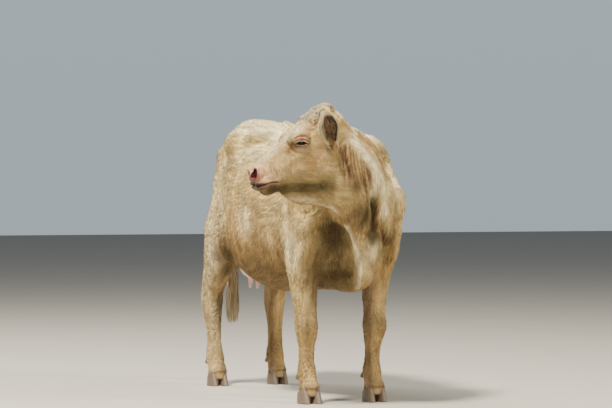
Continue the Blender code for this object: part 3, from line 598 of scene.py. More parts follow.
def eyeLocal(points, sign):  # across, up and out of each eye, from its middle
    gaze = mirrored(eye["gaze"], sign).normalized()
    slope = math.radians(eye["slope"])
    across = Vector((math.cos(slope), 0, math.sin(slope)))
    across = (across - gaze * gaze.dot(across)).normalized()
    up = across.cross(gaze)
    if up.z < 0:
        up = -up
    axes = np.array((across, up, gaze))
    return (intoHead(points) - np.array(mirrored(eye["centre"], sign))) @ axes.T, axes


nose = {
    # in the head's frame: middle, the way it faces, the way it is long
    "centre": (0.452, 0.045, -0.016), "out": Vector((0.66, 0.58, 0.48)), "long": Vector((-0.6, 0.7, 0.3)),
    "half": (0.018, 0.03), "deep": 0.03,
}


def nostrilLocal(points, sign):  # outward, across and along the nostril
    out, along = mirrored(nose["out"], sign).normalized(), mirrored(nose["long"], sign)
    along = (along - out * out.dot(along)).normalized()
    axes = np.array((out, out.cross(along) * -sign, along))
    local = (intoHead(points) - np.array(mirrored(nose["centre"], sign))) @ axes.T
    rho = np.hypot((local[:, 1] + 7.0 * local[:, 2] ** 2) / nose["half"][0], local[:, 2] / nose["half"][1])
    return local, axes, rho


def nearBoth(points, localOf, reach):  # near either eye or either nostril
    return np.minimum(*[np.linalg.norm(localOf(points, s)[0], axis=1) for s in (1, -1)]) < reach


def onFoldedSide(points):  # where the neck's upright folds are
    x, y, z = points.T
    return (x > -0.26) & (x < -0.02) & (y < -0.92) & (z > 1.02) & (z < 1.34) & (headShare(points) < 0.5)


def bareSkin():
    flesh = [trunkMesh(), neckMesh(), dewlapMesh(), tailMesh()]
    for sign in (1, -1):
        flesh += [legMesh("fore", sign), legMesh("hind", sign)]
    flesh += massMeshes(bodyMasses)
    faces = headMeshes()
    mesh = melted(flesh + faces, skin["voxel"], skin["rounds"], "skin")
    keepLargest(mesh)
    fine = melted(faces + [neckMesh(), dewlapMesh()], skin["fineVoxel"], skin["fineRounds"], "fine")
    fine.calc_loop_triangles()
    tree = BVHTree.FromPolygons(pointsOf(fine).tolist(), [t.vertices[:] for t in fine.loop_triangles])
    refine(mesh, lambda c: (headShare(c, 0.03) > 0.05) | ((c[:, 1] < -0.7) & (c[:, 2] > 0.75)))
    refine(mesh, lambda c: (intoHead(c)[:, 0] > 0.335) & (headShare(c) > 0.5) | nearBoth(c, eyeLocal, 0.07))
    refine(mesh, lambda c: nearBoth(c, eyeLocal, 0.042) | nearBoth(c, nostrilLocal, 0.032))
    refine(mesh, onFoldedSide)
    relaxMesh(mesh, 2)
    points = pointsOf(mesh)
    share = headShare(points)
    for i in np.nonzero(share > 0)[0]:
        near = tree.find_nearest(Vector(points[i]))[0]
        points[i] += share[i] * (np.array(near) - points[i])
    setPoints(mesh, points)
    relaxMesh(mesh, 2, share)
    return mesh


def overClaws(points):  # for both pairs of feet: the foot, who is near it, and the height over its claws
    for foot, size in ((foreFoot, foreClaw), (hindFoot, hindClaw)):
        near = (np.abs(points[:, 1] - foot[1]) < 0.11) & (points[:, 2] < 0.16)
        slope = (size["toe"] - size["heel"]) / (0.9 * size["length"] - 0.03)
        edge = soleLevel + (size["toe"] + size["heel"]) / 2 - slope * (points[:, 1] - foot[1] - 0.015)
        yield foot, near, points[:, 2] - edge


def sinkSkin(mesh):  # the skin lies inside the solids by the coat's depth
    points, normals = pointsOf(mesh), normalsOf(mesh)
    share = headShare(points)
    low = fade(-points[:, 2], -0.75, -0.6)
    depth = skin["sunk"]["body"] * (1 - low) + skin["sunk"]["legs"] * low
    depth = depth * (1 - share) + skin["sunk"]["head"] * share
    points -= normals * depth[:, None]
    for foot, near, over in overClaws(points):  # drawn in under the claws' upper edge
        under = fade(-over, -0.004, 0.006) * near
        middle = np.stack([np.sign(points[:, 0]) * foot[0], np.full(len(points), foot[1]), points[:, 2]], 1)
        points += (under * 0.24)[:, None] * (middle - points)
    setPoints(mesh, points)


skinMesh = bareSkin()
sinkSkin(skinMesh)
skinMesh.calc_loop_triangles()
print("skin", len(skinMesh.vertices), "points", len(skinMesh.loop_triangles), "triangles")


# How the coat lies

lie = {
    # on the trunk, both sides: where, then which way the hair points
    "withers": ((0.05, -0.45, 1.36), (0.15, 0.9, -0.3)), "back": ((0.06, 0.0, 1.34), (0.3, 0.95, -0.25)),
    "loin": ((0.06, 0.3, 1.38), (0.3, 0.9, -0.2)), "croup": ((0.08, 0.6, 1.38), (0.45, 0.8, -0.5)),
    "buttock": ((0.12, 0.84, 1.1), (0.2, 0.2, -1)), "ribs": ((0.31, -0.15, 1.12), (0, 0.65, -0.75)),
    "side": ((0.34, 0.0, 0.93), (0, 0.5, -0.85)), "low ribs": ((0.25, 0.0, 0.66), (-0.3, 0.8, -0.5)),
    "belly": ((0.05, 0.0, 0.56), (0, 1, 0)), "flank": ((0.28, 0.31, 1.0), (0, 0.1, -1)),
    "thigh": ((0.24, 0.55, 0.98), (0, 0.35, -0.95)), "gaskin": ((0.24, 0.64, 0.76), (0, 0.4, -0.9)),
    "hock": ((0.22, 0.79, 0.5), (0, 0.1, -1)), "hind cannon": ((0.2, 0.78, 0.25), (0, 0, -1)),
    "inner thigh": ((0.06, 0.52, 0.8), (0, 0.3, -1)), "shoulder": ((0.24, -0.5, 1.12), (0, 0.45, -0.9)),
    "upper arm": ((0.28, -0.52, 0.86), (0, 0.4, -0.9)), "forearm": ((0.24, -0.52, 0.6), (0, 0.1, -1)),
    "fore cannon": ((0.22, -0.52, 0.25), (0, 0, -1)), "breast": ((0.1, -0.82, 0.95), (0.05, -0.1, -1)),
    "brisket": ((0.03, -0.72, 0.66), (0, 0.5, -0.7)), "chest floor": ((0.03, -0.45, 0.57), (0, 1, 0)),
    "tail head": ((0.0, 0.85, 1.3), (0, 0.3, -1)), "tail end": ((0.0, 0.9, 0.9), (0, 0.05, -1)),
}
neckLie = {
    "outer side": ((-0.12, -1.02, 1.16), (0.5, 0.15, -0.8)),
    "outer low": ((-0.03, -0.95, 0.98), (0.35, 0.15, -0.9)),
    "crest": ((-0.12, -0.86, 1.36), (0.75, 0.55, -0.2)),
    "inner side": ((-0.14, -0.73, 1.15), (0.35, 0.7, -0.6)),
    "throat": ((-0.25, -0.9, 1.02), (0.75, 0.0, -0.4)), "shoulder bed": ((0.1, -0.8, 1.12), (0.25, 0.5, -0.8)),
    "behind the jaw": ((-0.22, -1.02, 1.22), (0.45, 0.0, -0.85)),
}
headLie = {
    "poll": ((0.0, 0.0, 0.03), (0.8, 0, 0.2)), "forehead": ((0.1, 0.0, 0.03), (0.9, 0, 0.1)),
    "bridge": ((0.28, 0.0, 0.02), (1, 0, 0)), "tip": ((0.41, 0.0, 0.01), (1, 0, -0.3)),
    "temple": ((0.1, 0.11, -0.05), (-0.4, 0.1, -0.8)), "cheek": ((0.15, 0.12, -0.15), (-0.4, 0, -0.9)),
    "jaw": ((0.22, 0.09, -0.27), (-0.6, 0, -0.6)), "face": ((0.3, 0.09, -0.07), (0.25, 0, -0.9)),
    "under the eye": ((0.21, 0.11, -0.1), (0.1, 0, -1)), "lip": ((0.4, 0.08, -0.1), (0.1, 0, -0.9)),
    "chin": ((0.42, 0.0, -0.15), (-0.9, 0, -0.2)), "behind the eye": ((0.13, 0.12, -0.08), (-0.7, 0, -0.5)),
}


def lieField(points):
    signs = (1, -1)
    rows = [[Vector((sign * v[0], v[1], v[2])) for v in row] for row in lie.values() for sign in signs]
    rows += [[Vector(v) for v in row] for row in neckLie.values()]
    turn = headFrame.to_3x3()
    for where, way in headLie.values():
        rows += [[headFrame @ mirrored(where, sign), turn @ mirrored(way, sign)] for sign in signs]
    field = np.zeros_like(points)
    for where, way in np.array([[tuple(v) for v in row] for row in rows]):
        gap = ((points - where) ** 2).sum(1)
        field += (1 / (gap + 0.02**2) ** 1.8)[:, None] * (way / np.linalg.norm(way))
    return field / np.linalg.norm(field, axis=1)[:, None]


def combed(points, normals):
    field = lieField(points)
    field -= (field * normals).sum(1)[:, None] * normals
    field /= np.maximum(np.linalg.norm(field, axis=1), 1e-6)[:, None]
    turn = 0.3 * wander(points, 14.0, 21) + 0.16 * wander(points, 45.0, 22)
    turn *= 1 - 0.5 * headShare(points)
    across = np.cross(normals, field)
    return field * np.cos(turn)[:, None] + across * np.sin(turn)[:, None]


def streaks(mesh, field, rounds=7, seed=77):  # uneven bands drawn out along the lie, about -1 to 1
    points = pointsOf(mesh)
    first, second = edgeEnds(mesh)
    way = points[second] - points[first]
    ahead = (way * field[first]).sum(1) / np.maximum(np.linalg.norm(way, axis=1), 1e-9)
    order = np.argsort(ahead)
    after, before = np.arange(len(points)), np.arange(len(points))
    after[first[order]] = second[order]
    before[first[order[::-1]]] = second[order[::-1]]
    value = np.random.default_rng(seed).normal(size=len(points))
    for _ in range(rounds):
        value = (value + value[after] + value[before]) / 3
    return np.clip(value / value.std(), -2, 2) / 2


# Folds, lids, nostrils and lips, pushed into the skin

folds = {
    # once, on the turned neck and the chest: path, half width, depth (negative stands out)
    "crest ridge": ((
        (-0.174, -0.991, 1.358), (-0.142, -0.985, 1.313), (-0.094, -0.977, 1.249), (-0.059, -0.966, 1.208),
        (-0.021, -0.947, 1.176), (0.015, -0.921, 1.135), (0.062, -0.859, 1.094), (0.099, -0.8, 1.019),
        (0.113, -0.779, 0.963), (0.114, -0.776, 0.907)), 0.02, -0.007),
    "behind the ridge": ((
        (-0.11, -0.94, 1.33), (-0.055, -0.915, 1.295), (0.01, -0.88, 1.262), (0.06, -0.835, 1.19),
        (0.105, -0.785, 1.11)), 0.034, 0.012),
    "throat hollow": ((
        (-0.014, -0.935, 1.05), (0.0, -0.905, 1.01), (0.02, -0.87, 0.968), (0.038, -0.835, 0.925),
        (0.054, -0.795, 0.88), (0.06, -0.79, 0.835), (0.07, -0.78, 0.8)), 0.026, 0.032),
    "shoulder hollow": ((
        (0.085, -0.8, 0.9), (0.115, -0.77, 0.858), (0.143, -0.733, 0.813), (0.18, -0.665, 0.75)),
        0.028, 0.018),
    "dewlap edge": ((
        (-0.143, -0.882, 0.919), (-0.102, -0.855, 0.877), (-0.072, -0.832, 0.835), (-0.043, -0.823, 0.76),
        (-0.021, -0.808, 0.709), (-0.012, -0.797, 0.676), (-0.009, -0.766, 0.628), (0.009, -0.701, 0.579)),
        0.012, -0.003),
    "beside the dewlap": ((
        (-0.165, -0.78, 0.92), (-0.122, -0.792, 0.862), (-0.096, -0.775, 0.8), (-0.074, -0.77, 0.745),
        (-0.058, -0.755, 0.7), (-0.05, -0.745, 0.65), (-0.045, -0.7, 0.6)), 0.028, 0.036),
    "chest hollow": ((
        (-0.19, -0.74, 0.9), (-0.15, -0.735, 0.815), (-0.125, -0.7, 0.74), (-0.11, -0.68, 0.68)),
        0.05, 0.03),
    "brisket fold": ((
        (-0.135, -0.61, 0.65), (-0.101, -0.685, 0.66), (-0.069, -0.729, 0.664), (-0.04, -0.765, 0.655)),
        0.012, 0.012),
    "right of the dewlap": ((
        (-0.015, -0.85, 0.87), (0.01, -0.815, 0.8), (0.02, -0.8, 0.74), (0.03, -0.77, 0.68)),
        0.016, 0.009),
}
sideFolds = {
    "elbow fold": (((0.27, -0.4, 0.98), (0.285, -0.385, 0.86), (0.26, -0.385, 0.72)), 0.03, 0.012),
    "forearm groove": (((0.225, -0.64, 0.86), (0.22, -0.625, 0.76), (0.212, -0.59, 0.64)), 0.014, 0.006),
    "flank hollow": (((0.3, 0.3, 1.18), (0.3, 0.3, 1.05), (0.28, 0.33, 0.9)), 0.08, 0.018),
    "loin edge": (((0.12, -0.25, 1.33), (0.15, 0.05, 1.33), (0.165, 0.3, 1.35)), 0.03, -0.004),
    "thigh groove": (((0.215, 0.69, 1.18), (0.23, 0.7, 1.0), (0.235, 0.69, 0.84)), 0.02, 0.006),
    "gaskin groove": (((0.225, 0.72, 0.73), (0.215, 0.78, 0.64), (0.205, 0.815, 0.56)), 0.012, 0.006),
    "knee hollow": (((0.235, -0.52, 0.47), (0.235, -0.52, 0.38)), 0.016, 0.003),
}
faceFolds = {
    # in the head's frame, on both sides
    "cheek bone": (((0.215, 0.098, -0.085), (0.28, 0.082, -0.082), (0.345, 0.07, -0.075)), 0.014, -0.0022),
    "under it": (((0.2, 0.108, -0.115), (0.28, 0.086, -0.112), (0.35, 0.068, -0.105)), 0.02, 0.0018),
    "cheek": (((0.12, 0.115, -0.1), (0.13, 0.118, -0.16), (0.165, 0.105, -0.235)), 0.02, 0.0022),
    "behind the jaw": (((0.07, 0.1, -0.17), (0.085, 0.105, -0.24), (0.12, 0.09, -0.3)), 0.016, 0.0055),
    "jaw edge": ((
        (0.18, 0.1, -0.245), (0.26, 0.085, -0.225), (0.33, 0.07, -0.18), (0.38, 0.07, -0.13)),
        0.014, 0.0022),
    "nose crease": (((0.365, 0.072, -0.03), (0.385, 0.074, -0.06), (0.392, 0.076, -0.095)), 0.005, 0.0042),
    "crease behind": (((0.35, 0.07, -0.022), (0.366, 0.073, -0.056), (0.372, 0.075, -0.09)), 0.005, 0.0032),
    "brow": (((0.15, 0.075, 0.004), (0.205, 0.075, 0.0), (0.24, 0.07, -0.02)), 0.012, -0.0035),
    "temple pit": (((0.11, 0.098, -0.03), (0.125, 0.104, -0.055)), 0.014, 0.006),
}
muzzleForms = {
    # in the head's frame: middle, half widths, depth (negative stands out)
    "lower lip": ((0.452, 0.0, -0.1), (0.028, 0.045, 0.024), -0.0095),
    "upper lip's front": ((0.478, 0.0, -0.05), (0.022, 0.05, 0.022), -0.005),
    "between the nostrils": ((0.476, 0.0, -0.028), (0.022, 0.024, 0.018), -0.0075),
    "left wing": ((0.446, 0.032, 0.006), (0.02, 0.018, 0.014), 0.0065),
    "right wing": ((0.446, -0.032, 0.006), (0.02, 0.018, 0.014), 0.0065),
}
wrinkles = {"seed": 4, "count": 11, "width": 0.0052, "depth": 0.0068}  # upright, on the neck's outer side


def flipped(path, sign, axis=0):
    return [[sign * v if k == axis else v for k, v in enumerate(place)] for place in path]


def neckWrinkles(points):
    draw = np.random.default_rng(wrinkles["seed"])
    push = np.zeros(len(points))
    front = fade(-points[:, 1], 0.93, 0.96)
    for i in range(wrinkles["count"]):
        t = i / (wrinkles["count"] - 1)
        x = -0.216 + 0.18 * t + draw.uniform(-0.004, 0.004)
        top = 1.32 - 0.11 * t + draw.uniform(-0.03, 0.02)
        low = 1.07 - 0.07 * t + draw.uniform(-0.03, 0.03)
        bow = draw.uniform(-0.012, 0.012)
        path = [(x - 0.014, top), (x + bow, (top + low) / 2), (x + 0.026, low)]
        gap, share = pathDistance(points[:, (0, 2)], path)
        taper = fade(np.minimum(share, 1 - share), 0.0, 0.3) * front
        push += wrinkles["depth"] * draw.uniform(0.6, 1.2) * hump(gap, 0, wrinkles["width"]) * taper
    return push


def lidLine(p, side):  # the slit's height above or below its middle at p along it
    half = eye["halfLength"]
    inner = np.clip(1 - (np.abs(p) / half) ** 2.2, 0, 1)
    return (eye["above"] if side > 0 else eye["below"]) * inner**0.85


def lidHeight(p, q):  # the lids' own dome over the eyeball
    inside = 1 - (p / 0.041) ** 2 - (q / 0.031) ** 2
    return eye["radius"] * np.sqrt(np.clip(inside, 0.02, 1)) + 0.0038


def slitGap(p, q):  # how far a place is outside the slit between the lids
    limit = np.where(q > 0, lidLine(p, 1), lidLine(p, -1))
    half = eye["halfLength"]
    return np.where(np.abs(p) < half, np.abs(q) - limit, np.hypot(np.abs(p) - half, q))


def sculptEyes(points):
    for sign in (1, -1):
        local, axes = eyeLocal(points, sign)
        flat = np.hypot(local[:, 0], local[:, 1])
        near = (flat < 0.06) & (local[:, 2] > -0.02)
        p, q, height = local[near].T
        gap = slitGap(p, q)
        above = fade(q, -0.004, 0.004)
        lid = lidHeight(p, q)
        # depth, distance from the slit, half width of the lids' creases
        upper = ((0.003, 0.0095, 0.002), (-0.0024, 0.014, 0.0034), (0.002, 0.0195, 0.0022))
        for depth, middle, half in upper:
            lid -= depth * hump(gap, middle, half) * above
        for depth, middle, half in ((0.002, 0.008, 0.0018), (0.0018, 0.014, 0.0022)):
            lid -= depth * hump(gap, middle, half) * (1 - above)
        wanted = height + (1 - fade(flat[near], 0.026, 0.044)) * (lid - height)
        ball = np.sqrt(np.clip(eye["radius"] ** 2 - p**2 - q**2, 0.0105**2, 1))
        wanted = np.where(gap < 0.0006, np.minimum(ball - 0.006, wanted), wanted)
        # the front corner's gutter
        wanted -= 0.0035 * hump(p, 0.031, 0.006) * hump(q, -0.003 - 0.3 * (p - 0.031), 0.0028)
        points[near] += np.outer(wanted - height, axes[2]) @ headTurn.T
    return points


def sculptNose(points):
    for sign in (1, -1):
        local, axes, rho = nostrilLocal(points, sign)
        near = (np.abs(local[:, 0]) < 0.035) & (rho < 2.6)
        push = -nose["deep"] * np.clip(1 - rho**2, 0, 1) ** 0.5 + 0.003 * hump(rho, 1.28, 0.22)
        points[near] += np.outer(push[near], axes[0]) @ headTurn.T
    return points


def lipGap(place):  # height over the mouth's line, which runs round the muzzle and droops to its corners
    angle = np.arctan2(np.abs(place[:, 1]) / 0.07, np.maximum(place[:, 0] - 0.39, 0) / 0.08)
    droop = -0.06 - 0.054 * (1 - np.cos(angle)) ** 1.1
    gap = (place[:, 2] - droop) * 0.88
    behind = np.maximum(0.39 - place[:, 0], 0)
    return np.where(behind > 0, np.where(gap < 0, -1, 1) * np.hypot(gap, behind), gap)


def sculptHead(points):
    place = intoHead(points)
    ahead, aside, up = place.T
    lips = lipGap(place)
    push = 0.0075 * hump(lips, 0, 0.0032)
    push -= 0.0024 * hump(lips, 0.009, 0.005) + 0.0016 * hump(lips, -0.008, 0.0045)
    for sign in (1, -1):
        for path, width, depth in faceFolds.values():
            push += furrow(place, flipped(path, sign, 1), width, depth)
    for middle, half, depth in muzzleForms.values():
        push += depth * mound(place, middle, half)
    push -= 0.001 * fade(ahead, 0.36, 0.43) * wander(place, 160.0, 3)
    push += 0.0035 * hump(aside, 0, 0.003) * fade(ahead, 0.455, 0.475) * fade(up, -0.06, -0.05)
    return push * fade(headShare(points, 0.02), 0.0, 0.3)


def sculptSkin(mesh):
    points, normals = pointsOf(mesh), normalsOf(mesh)
    body = 1 - headShare(points)
    push = 0.0011 * streaks(mesh, combed(points, normals)) * body
    for path, width, depth in folds.values():
        push += furrow(points, path, width, depth, 0.2)
    for path, width, depth in sideFolds.values():
        for sign in (1, -1):
            push += furrow(points, flipped(path, sign), width, depth)
    push += neckWrinkles(points)
    push += 0.0014 * wander(points, 22.0, 8) * body * fade(points[:, 2], 0.5, 0.7)
    push += sculptHead(points)
    points = points - normals * push[:, None]
    setPoints(mesh, sculptEyes(sculptNose(points)))


sculptSkin(skinMesh)
print("skin carved")


# How the coat is marked, with painted shade and highlights, and how long it is

coatLook = {
    # Several of these colours also serve as painted light: the darker browns are laid as painted shade in
    # hollows, folds and under the body, and the brightest cream as painted highlights on lit ridges and sides.
    "cream": (0.63, 0.485, 0.225), "pale": (0.84, 0.735, 0.475), "bright": (0.95, 0.84, 0.57),
    "tan": (0.4, 0.245, 0.09), "rustAndShade": (0.175, 0.08, 0.034), "soilAndShade": (0.17, 0.115, 0.055),
    "oliveShade": (0.098, 0.08, 0.03), "shade": (0.068, 0.041, 0.014), "shadeHair": (0.26, 0.18, 0.09),
    "flesh": (0.62, 0.27, 0.2), "rose": (0.34, 0.09, 0.08), "dark": (0.012, 0.008, 0.008),
    "earCupSkinAndShade": (0.04, 0.03, 0.03), "earRed": (0.26, 0.085, 0.04), "mauve": (0.22, 0.135, 0.105),
    "length": {"body": 0.038, "neck": 0.028, "legs": 0.022, "face": 0.0105, "feet": 0.014},
}


def mixed(colours, mask, name, amount=1.0):
    mask = np.clip(mask * amount, 0, 1)[:, None]
    colours += mask * (np.array(coatLook[name]) - colours)


def plain(colour, count):
    return np.tile(np.array(colour), (count, 1))


marks = {
    # on the body: middle, half widths, colour, amount. Most are painted light: the darks in the hollows and
    # folds, under the chest and neck, behind the cheek, inside the arm, by the stifle and on the legs' shaded
    # sides are painted shade; the ridge glow, breast, shoulder side, ribs, lit foreleg and right hind leg are
    # painted highlights.
    "chest shade": ((-0.125, -0.735, 0.83), (0.078, 0.13, 0.135), "shade", 0.96),
    "chest floor": ((-0.1, -0.66, 0.65), (0.095, 0.16, 0.08), "shade", 0.95),
    "between the legs": ((-0.07, -0.5, 0.59), (0.12, 0.25, 0.055), "soilAndShade", 0.8),
    "breast's painted highlight": ((0.046, -0.78, 0.77), (0.048, 0.08, 0.055), "bright", 0.75),
    "under the shoulder": ((0.155, -0.705, 0.805), (0.058, 0.1, 0.068), "shade", 0.82),
    "ridge glow": ((0.0, -0.925, 1.11), (0.05, 0.07, 0.095), "bright", 0.7),
    "shoulder side": ((0.185, -0.69, 1.06), (0.045, 0.11, 0.12), "bright", 0.5),
    "neck's root": ((0.032, -0.85, 0.95), (0.04, 0.08, 0.08), "shade", 0.75),
    "inside of the arm": ((-0.175, -0.59, 0.72), (0.03, 0.08, 0.16), "soilAndShade", 0.6),
    "right elbow": ((-0.27, -0.4, 0.8), (0.08, 0.06, 0.12), "soilAndShade", 0.5),
    "left elbow": ((0.27, -0.4, 0.8), (0.08, 0.06, 0.12), "soilAndShade", 0.5),
    "hollow's right side": ((-0.036, -0.908, 0.952), (0.034, 0.07, 0.08), "shade", 1.0),
    "hollow's left side": ((-0.09, -0.932, 0.95), (0.046, 0.06, 0.06), "soilAndShade", 0.82),
    "hollow's foot": ((0.04, -0.79, 0.86), (0.03, 0.07, 0.06), "shade", 0.85),
    "behind the dewlap": ((-0.125, -0.73, 0.885), (0.055, 0.1, 0.06), "shade", 0.9),
    "neck under the folds": ((-0.12, -0.985, 1.075), (0.036, 0.06, 0.042), "shade", 0.72),
    "inner side of the left foreleg": ((0.13, -0.52, 0.53), (0.028, 0.1, 0.17), "shade", 0.72),
    "flank by the stifle": ((-0.31, 0.15, 0.77), (0.06, 0.07, 0.07), "shade", 0.8),
    "inner side of the right hock": ((-0.135, 0.74, 0.46), (0.022, 0.06, 0.1), "shade", 0.8),
    "low ribs": ((-0.33, -0.02, 0.785), (0.08, 0.26, 0.045), "tan", 0.6),
    "forearm": ((-0.27, -0.57, 0.63), (0.035, 0.08, 0.05), "tan", 0.6),
    "dip before the shoulder": ((0.15, -0.63, 1.22), (0.03, 0.07, 0.05), "soilAndShade", 0.5),
    "behind the cheek": ((-0.195, -1.0, 1.215), (0.03, 0.06, 0.075), "soilAndShade", 0.75),
    "neck's low edge": ((0.13, -0.735, 0.838), (0.065, 0.1, 0.03), "shade", 0.6),
    "ribs": ((-0.328, -0.1, 0.92), (0.05, 0.075, 0.09), "bright", 0.6),
    "lit foreleg": ((-0.275, -0.565, 0.785), (0.04, 0.085, 0.12), "bright", 0.75),
    "right hind leg": ((-0.252, 0.59, 0.74), (0.05, 0.07, 0.15), "bright", 0.6),
    "stifle": ((-0.235, 0.415, 0.765), (0.07, 0.07, 0.1), "shade", 0.85),
    "gaskin": ((-0.18, 0.56, 0.65), (0.04, 0.07, 0.1), "shade", 0.75),
    "shin": ((-0.16, 0.71, 0.5), (0.03, 0.06, 0.12), "shade", 0.45),
    "left foreleg": ((0.2, -0.62, 0.62), (0.08, 0.1, 0.22), "tan", 0.45),
    "shoulder top": ((0.13, -0.64, 1.24), (0.055, 0.12, 0.055), "tan", 0.6),
    "right hip hollow": ((-0.25, 0.3, 1.13), (0.1, 0.1, 0.1), "tan", 0.4),
    "left hip hollow": ((0.25, 0.3, 1.13), (0.1, 0.1, 0.1), "tan", 0.4),
    "right thigh": ((-0.22, 0.52, 0.86), (0.08, 0.1, 0.2), "mauve", 0.3),
    "left thigh": ((0.22, 0.52, 0.86), (0.08, 0.1, 0.2), "mauve", 0.3),
}
foldShades = {
    # painted shade along the folds and hollows, laid before the marks: half width, colour, amount
    "behind the ridge": (0.03, "tan", 0.85), "throat hollow": (0.04, "shade", 0.95),
    "shoulder hollow": (0.03, "rustAndShade", 0.7), "beside the dewlap": (0.024, "rustAndShade", 0.6),
    "brisket fold": (0.014, "rustAndShade", 0.85),
}
# painted highlights along the crest ridge and the dewlap's edge: half width, colour, amount
ridgeHighlights = {"crest ridge": (0.028, "bright", 1.0), "dewlap edge": (0.011, "bright", 0.95)}
throatLightAndShadow = (
    # a painted highlight band and a painted shadow line along the throat's lower edge
    (((-0.408, -0.912, 1.02), (-0.33, -0.908, 1.01), (-0.292, -0.905, 1.002), (-0.24, -0.901, 0.988),
      (-0.19, -0.895, 0.968)), 0.015, "bright", 0.65),
    (((-0.414, -0.902, 1.003), (-0.364, -0.898, 0.99), (-0.325, -0.893, 0.984), (-0.286, -0.889, 0.978),
      (-0.24, -0.889, 0.968), (-0.202, -0.884, 0.958), (-0.165, -0.878, 0.93)), 0.0085, "shade", 0.95),
)
cheekMarks = (
    # in the head's frame: forward, up, half widths, colour, amount; darker cheeks, partly the hair's own ochre
    # and partly painted shade
    (0.225, -0.155, 0.035, 0.03, "tan", 0.85), (0.19, -0.13, 0.055, 0.05, "tan", 0.78),
    (0.135, -0.15, 0.045, 0.055, "shadeHair", 0.35), (0.09, -0.19, 0.03, 0.06, "tan", 0.6),
)
eyeMarks = (
    # from the eye's middle: towards the nose, up, half widths, colour, amount; the dark round the eye and in
    # its front corner is partly painted shade
    (0.008, 0.002, 0.046, 0.032, "shadeHair", 0.62), (0.002, 0.027, 0.024, 0.01, "flesh", 0.8),
    (-0.02, -0.018, 0.02, 0.014, "mauve", 0.55), (0.042, -0.002, 0.023, 0.019, "shade", 0.97),
    (0.01, -0.03, 0.022, 0.008, "pale", 0.45),
)
jawLine = ((0.43, -0.125), (0.366, -0.178), (0.308, -0.221), (0.254, -0.256), (0.21, -0.296))
lipShade = ((0.345, -0.125), (0.3, -0.15), (0.255, -0.18))
tearPath = ((0.216, 0.104, -0.04), (0.232, 0.09, -0.036), (0.246, 0.076, -0.03), (0.262, 0.074, -0.04))
noseCreases = (
    ((0.365, -0.03), (0.385, -0.06), (0.392, -0.095)), ((0.35, -0.022), (0.366, -0.056), (0.372, -0.09)),
    ((0.4, -0.02), (0.408, -0.05), (0.41, -0.075)),
)


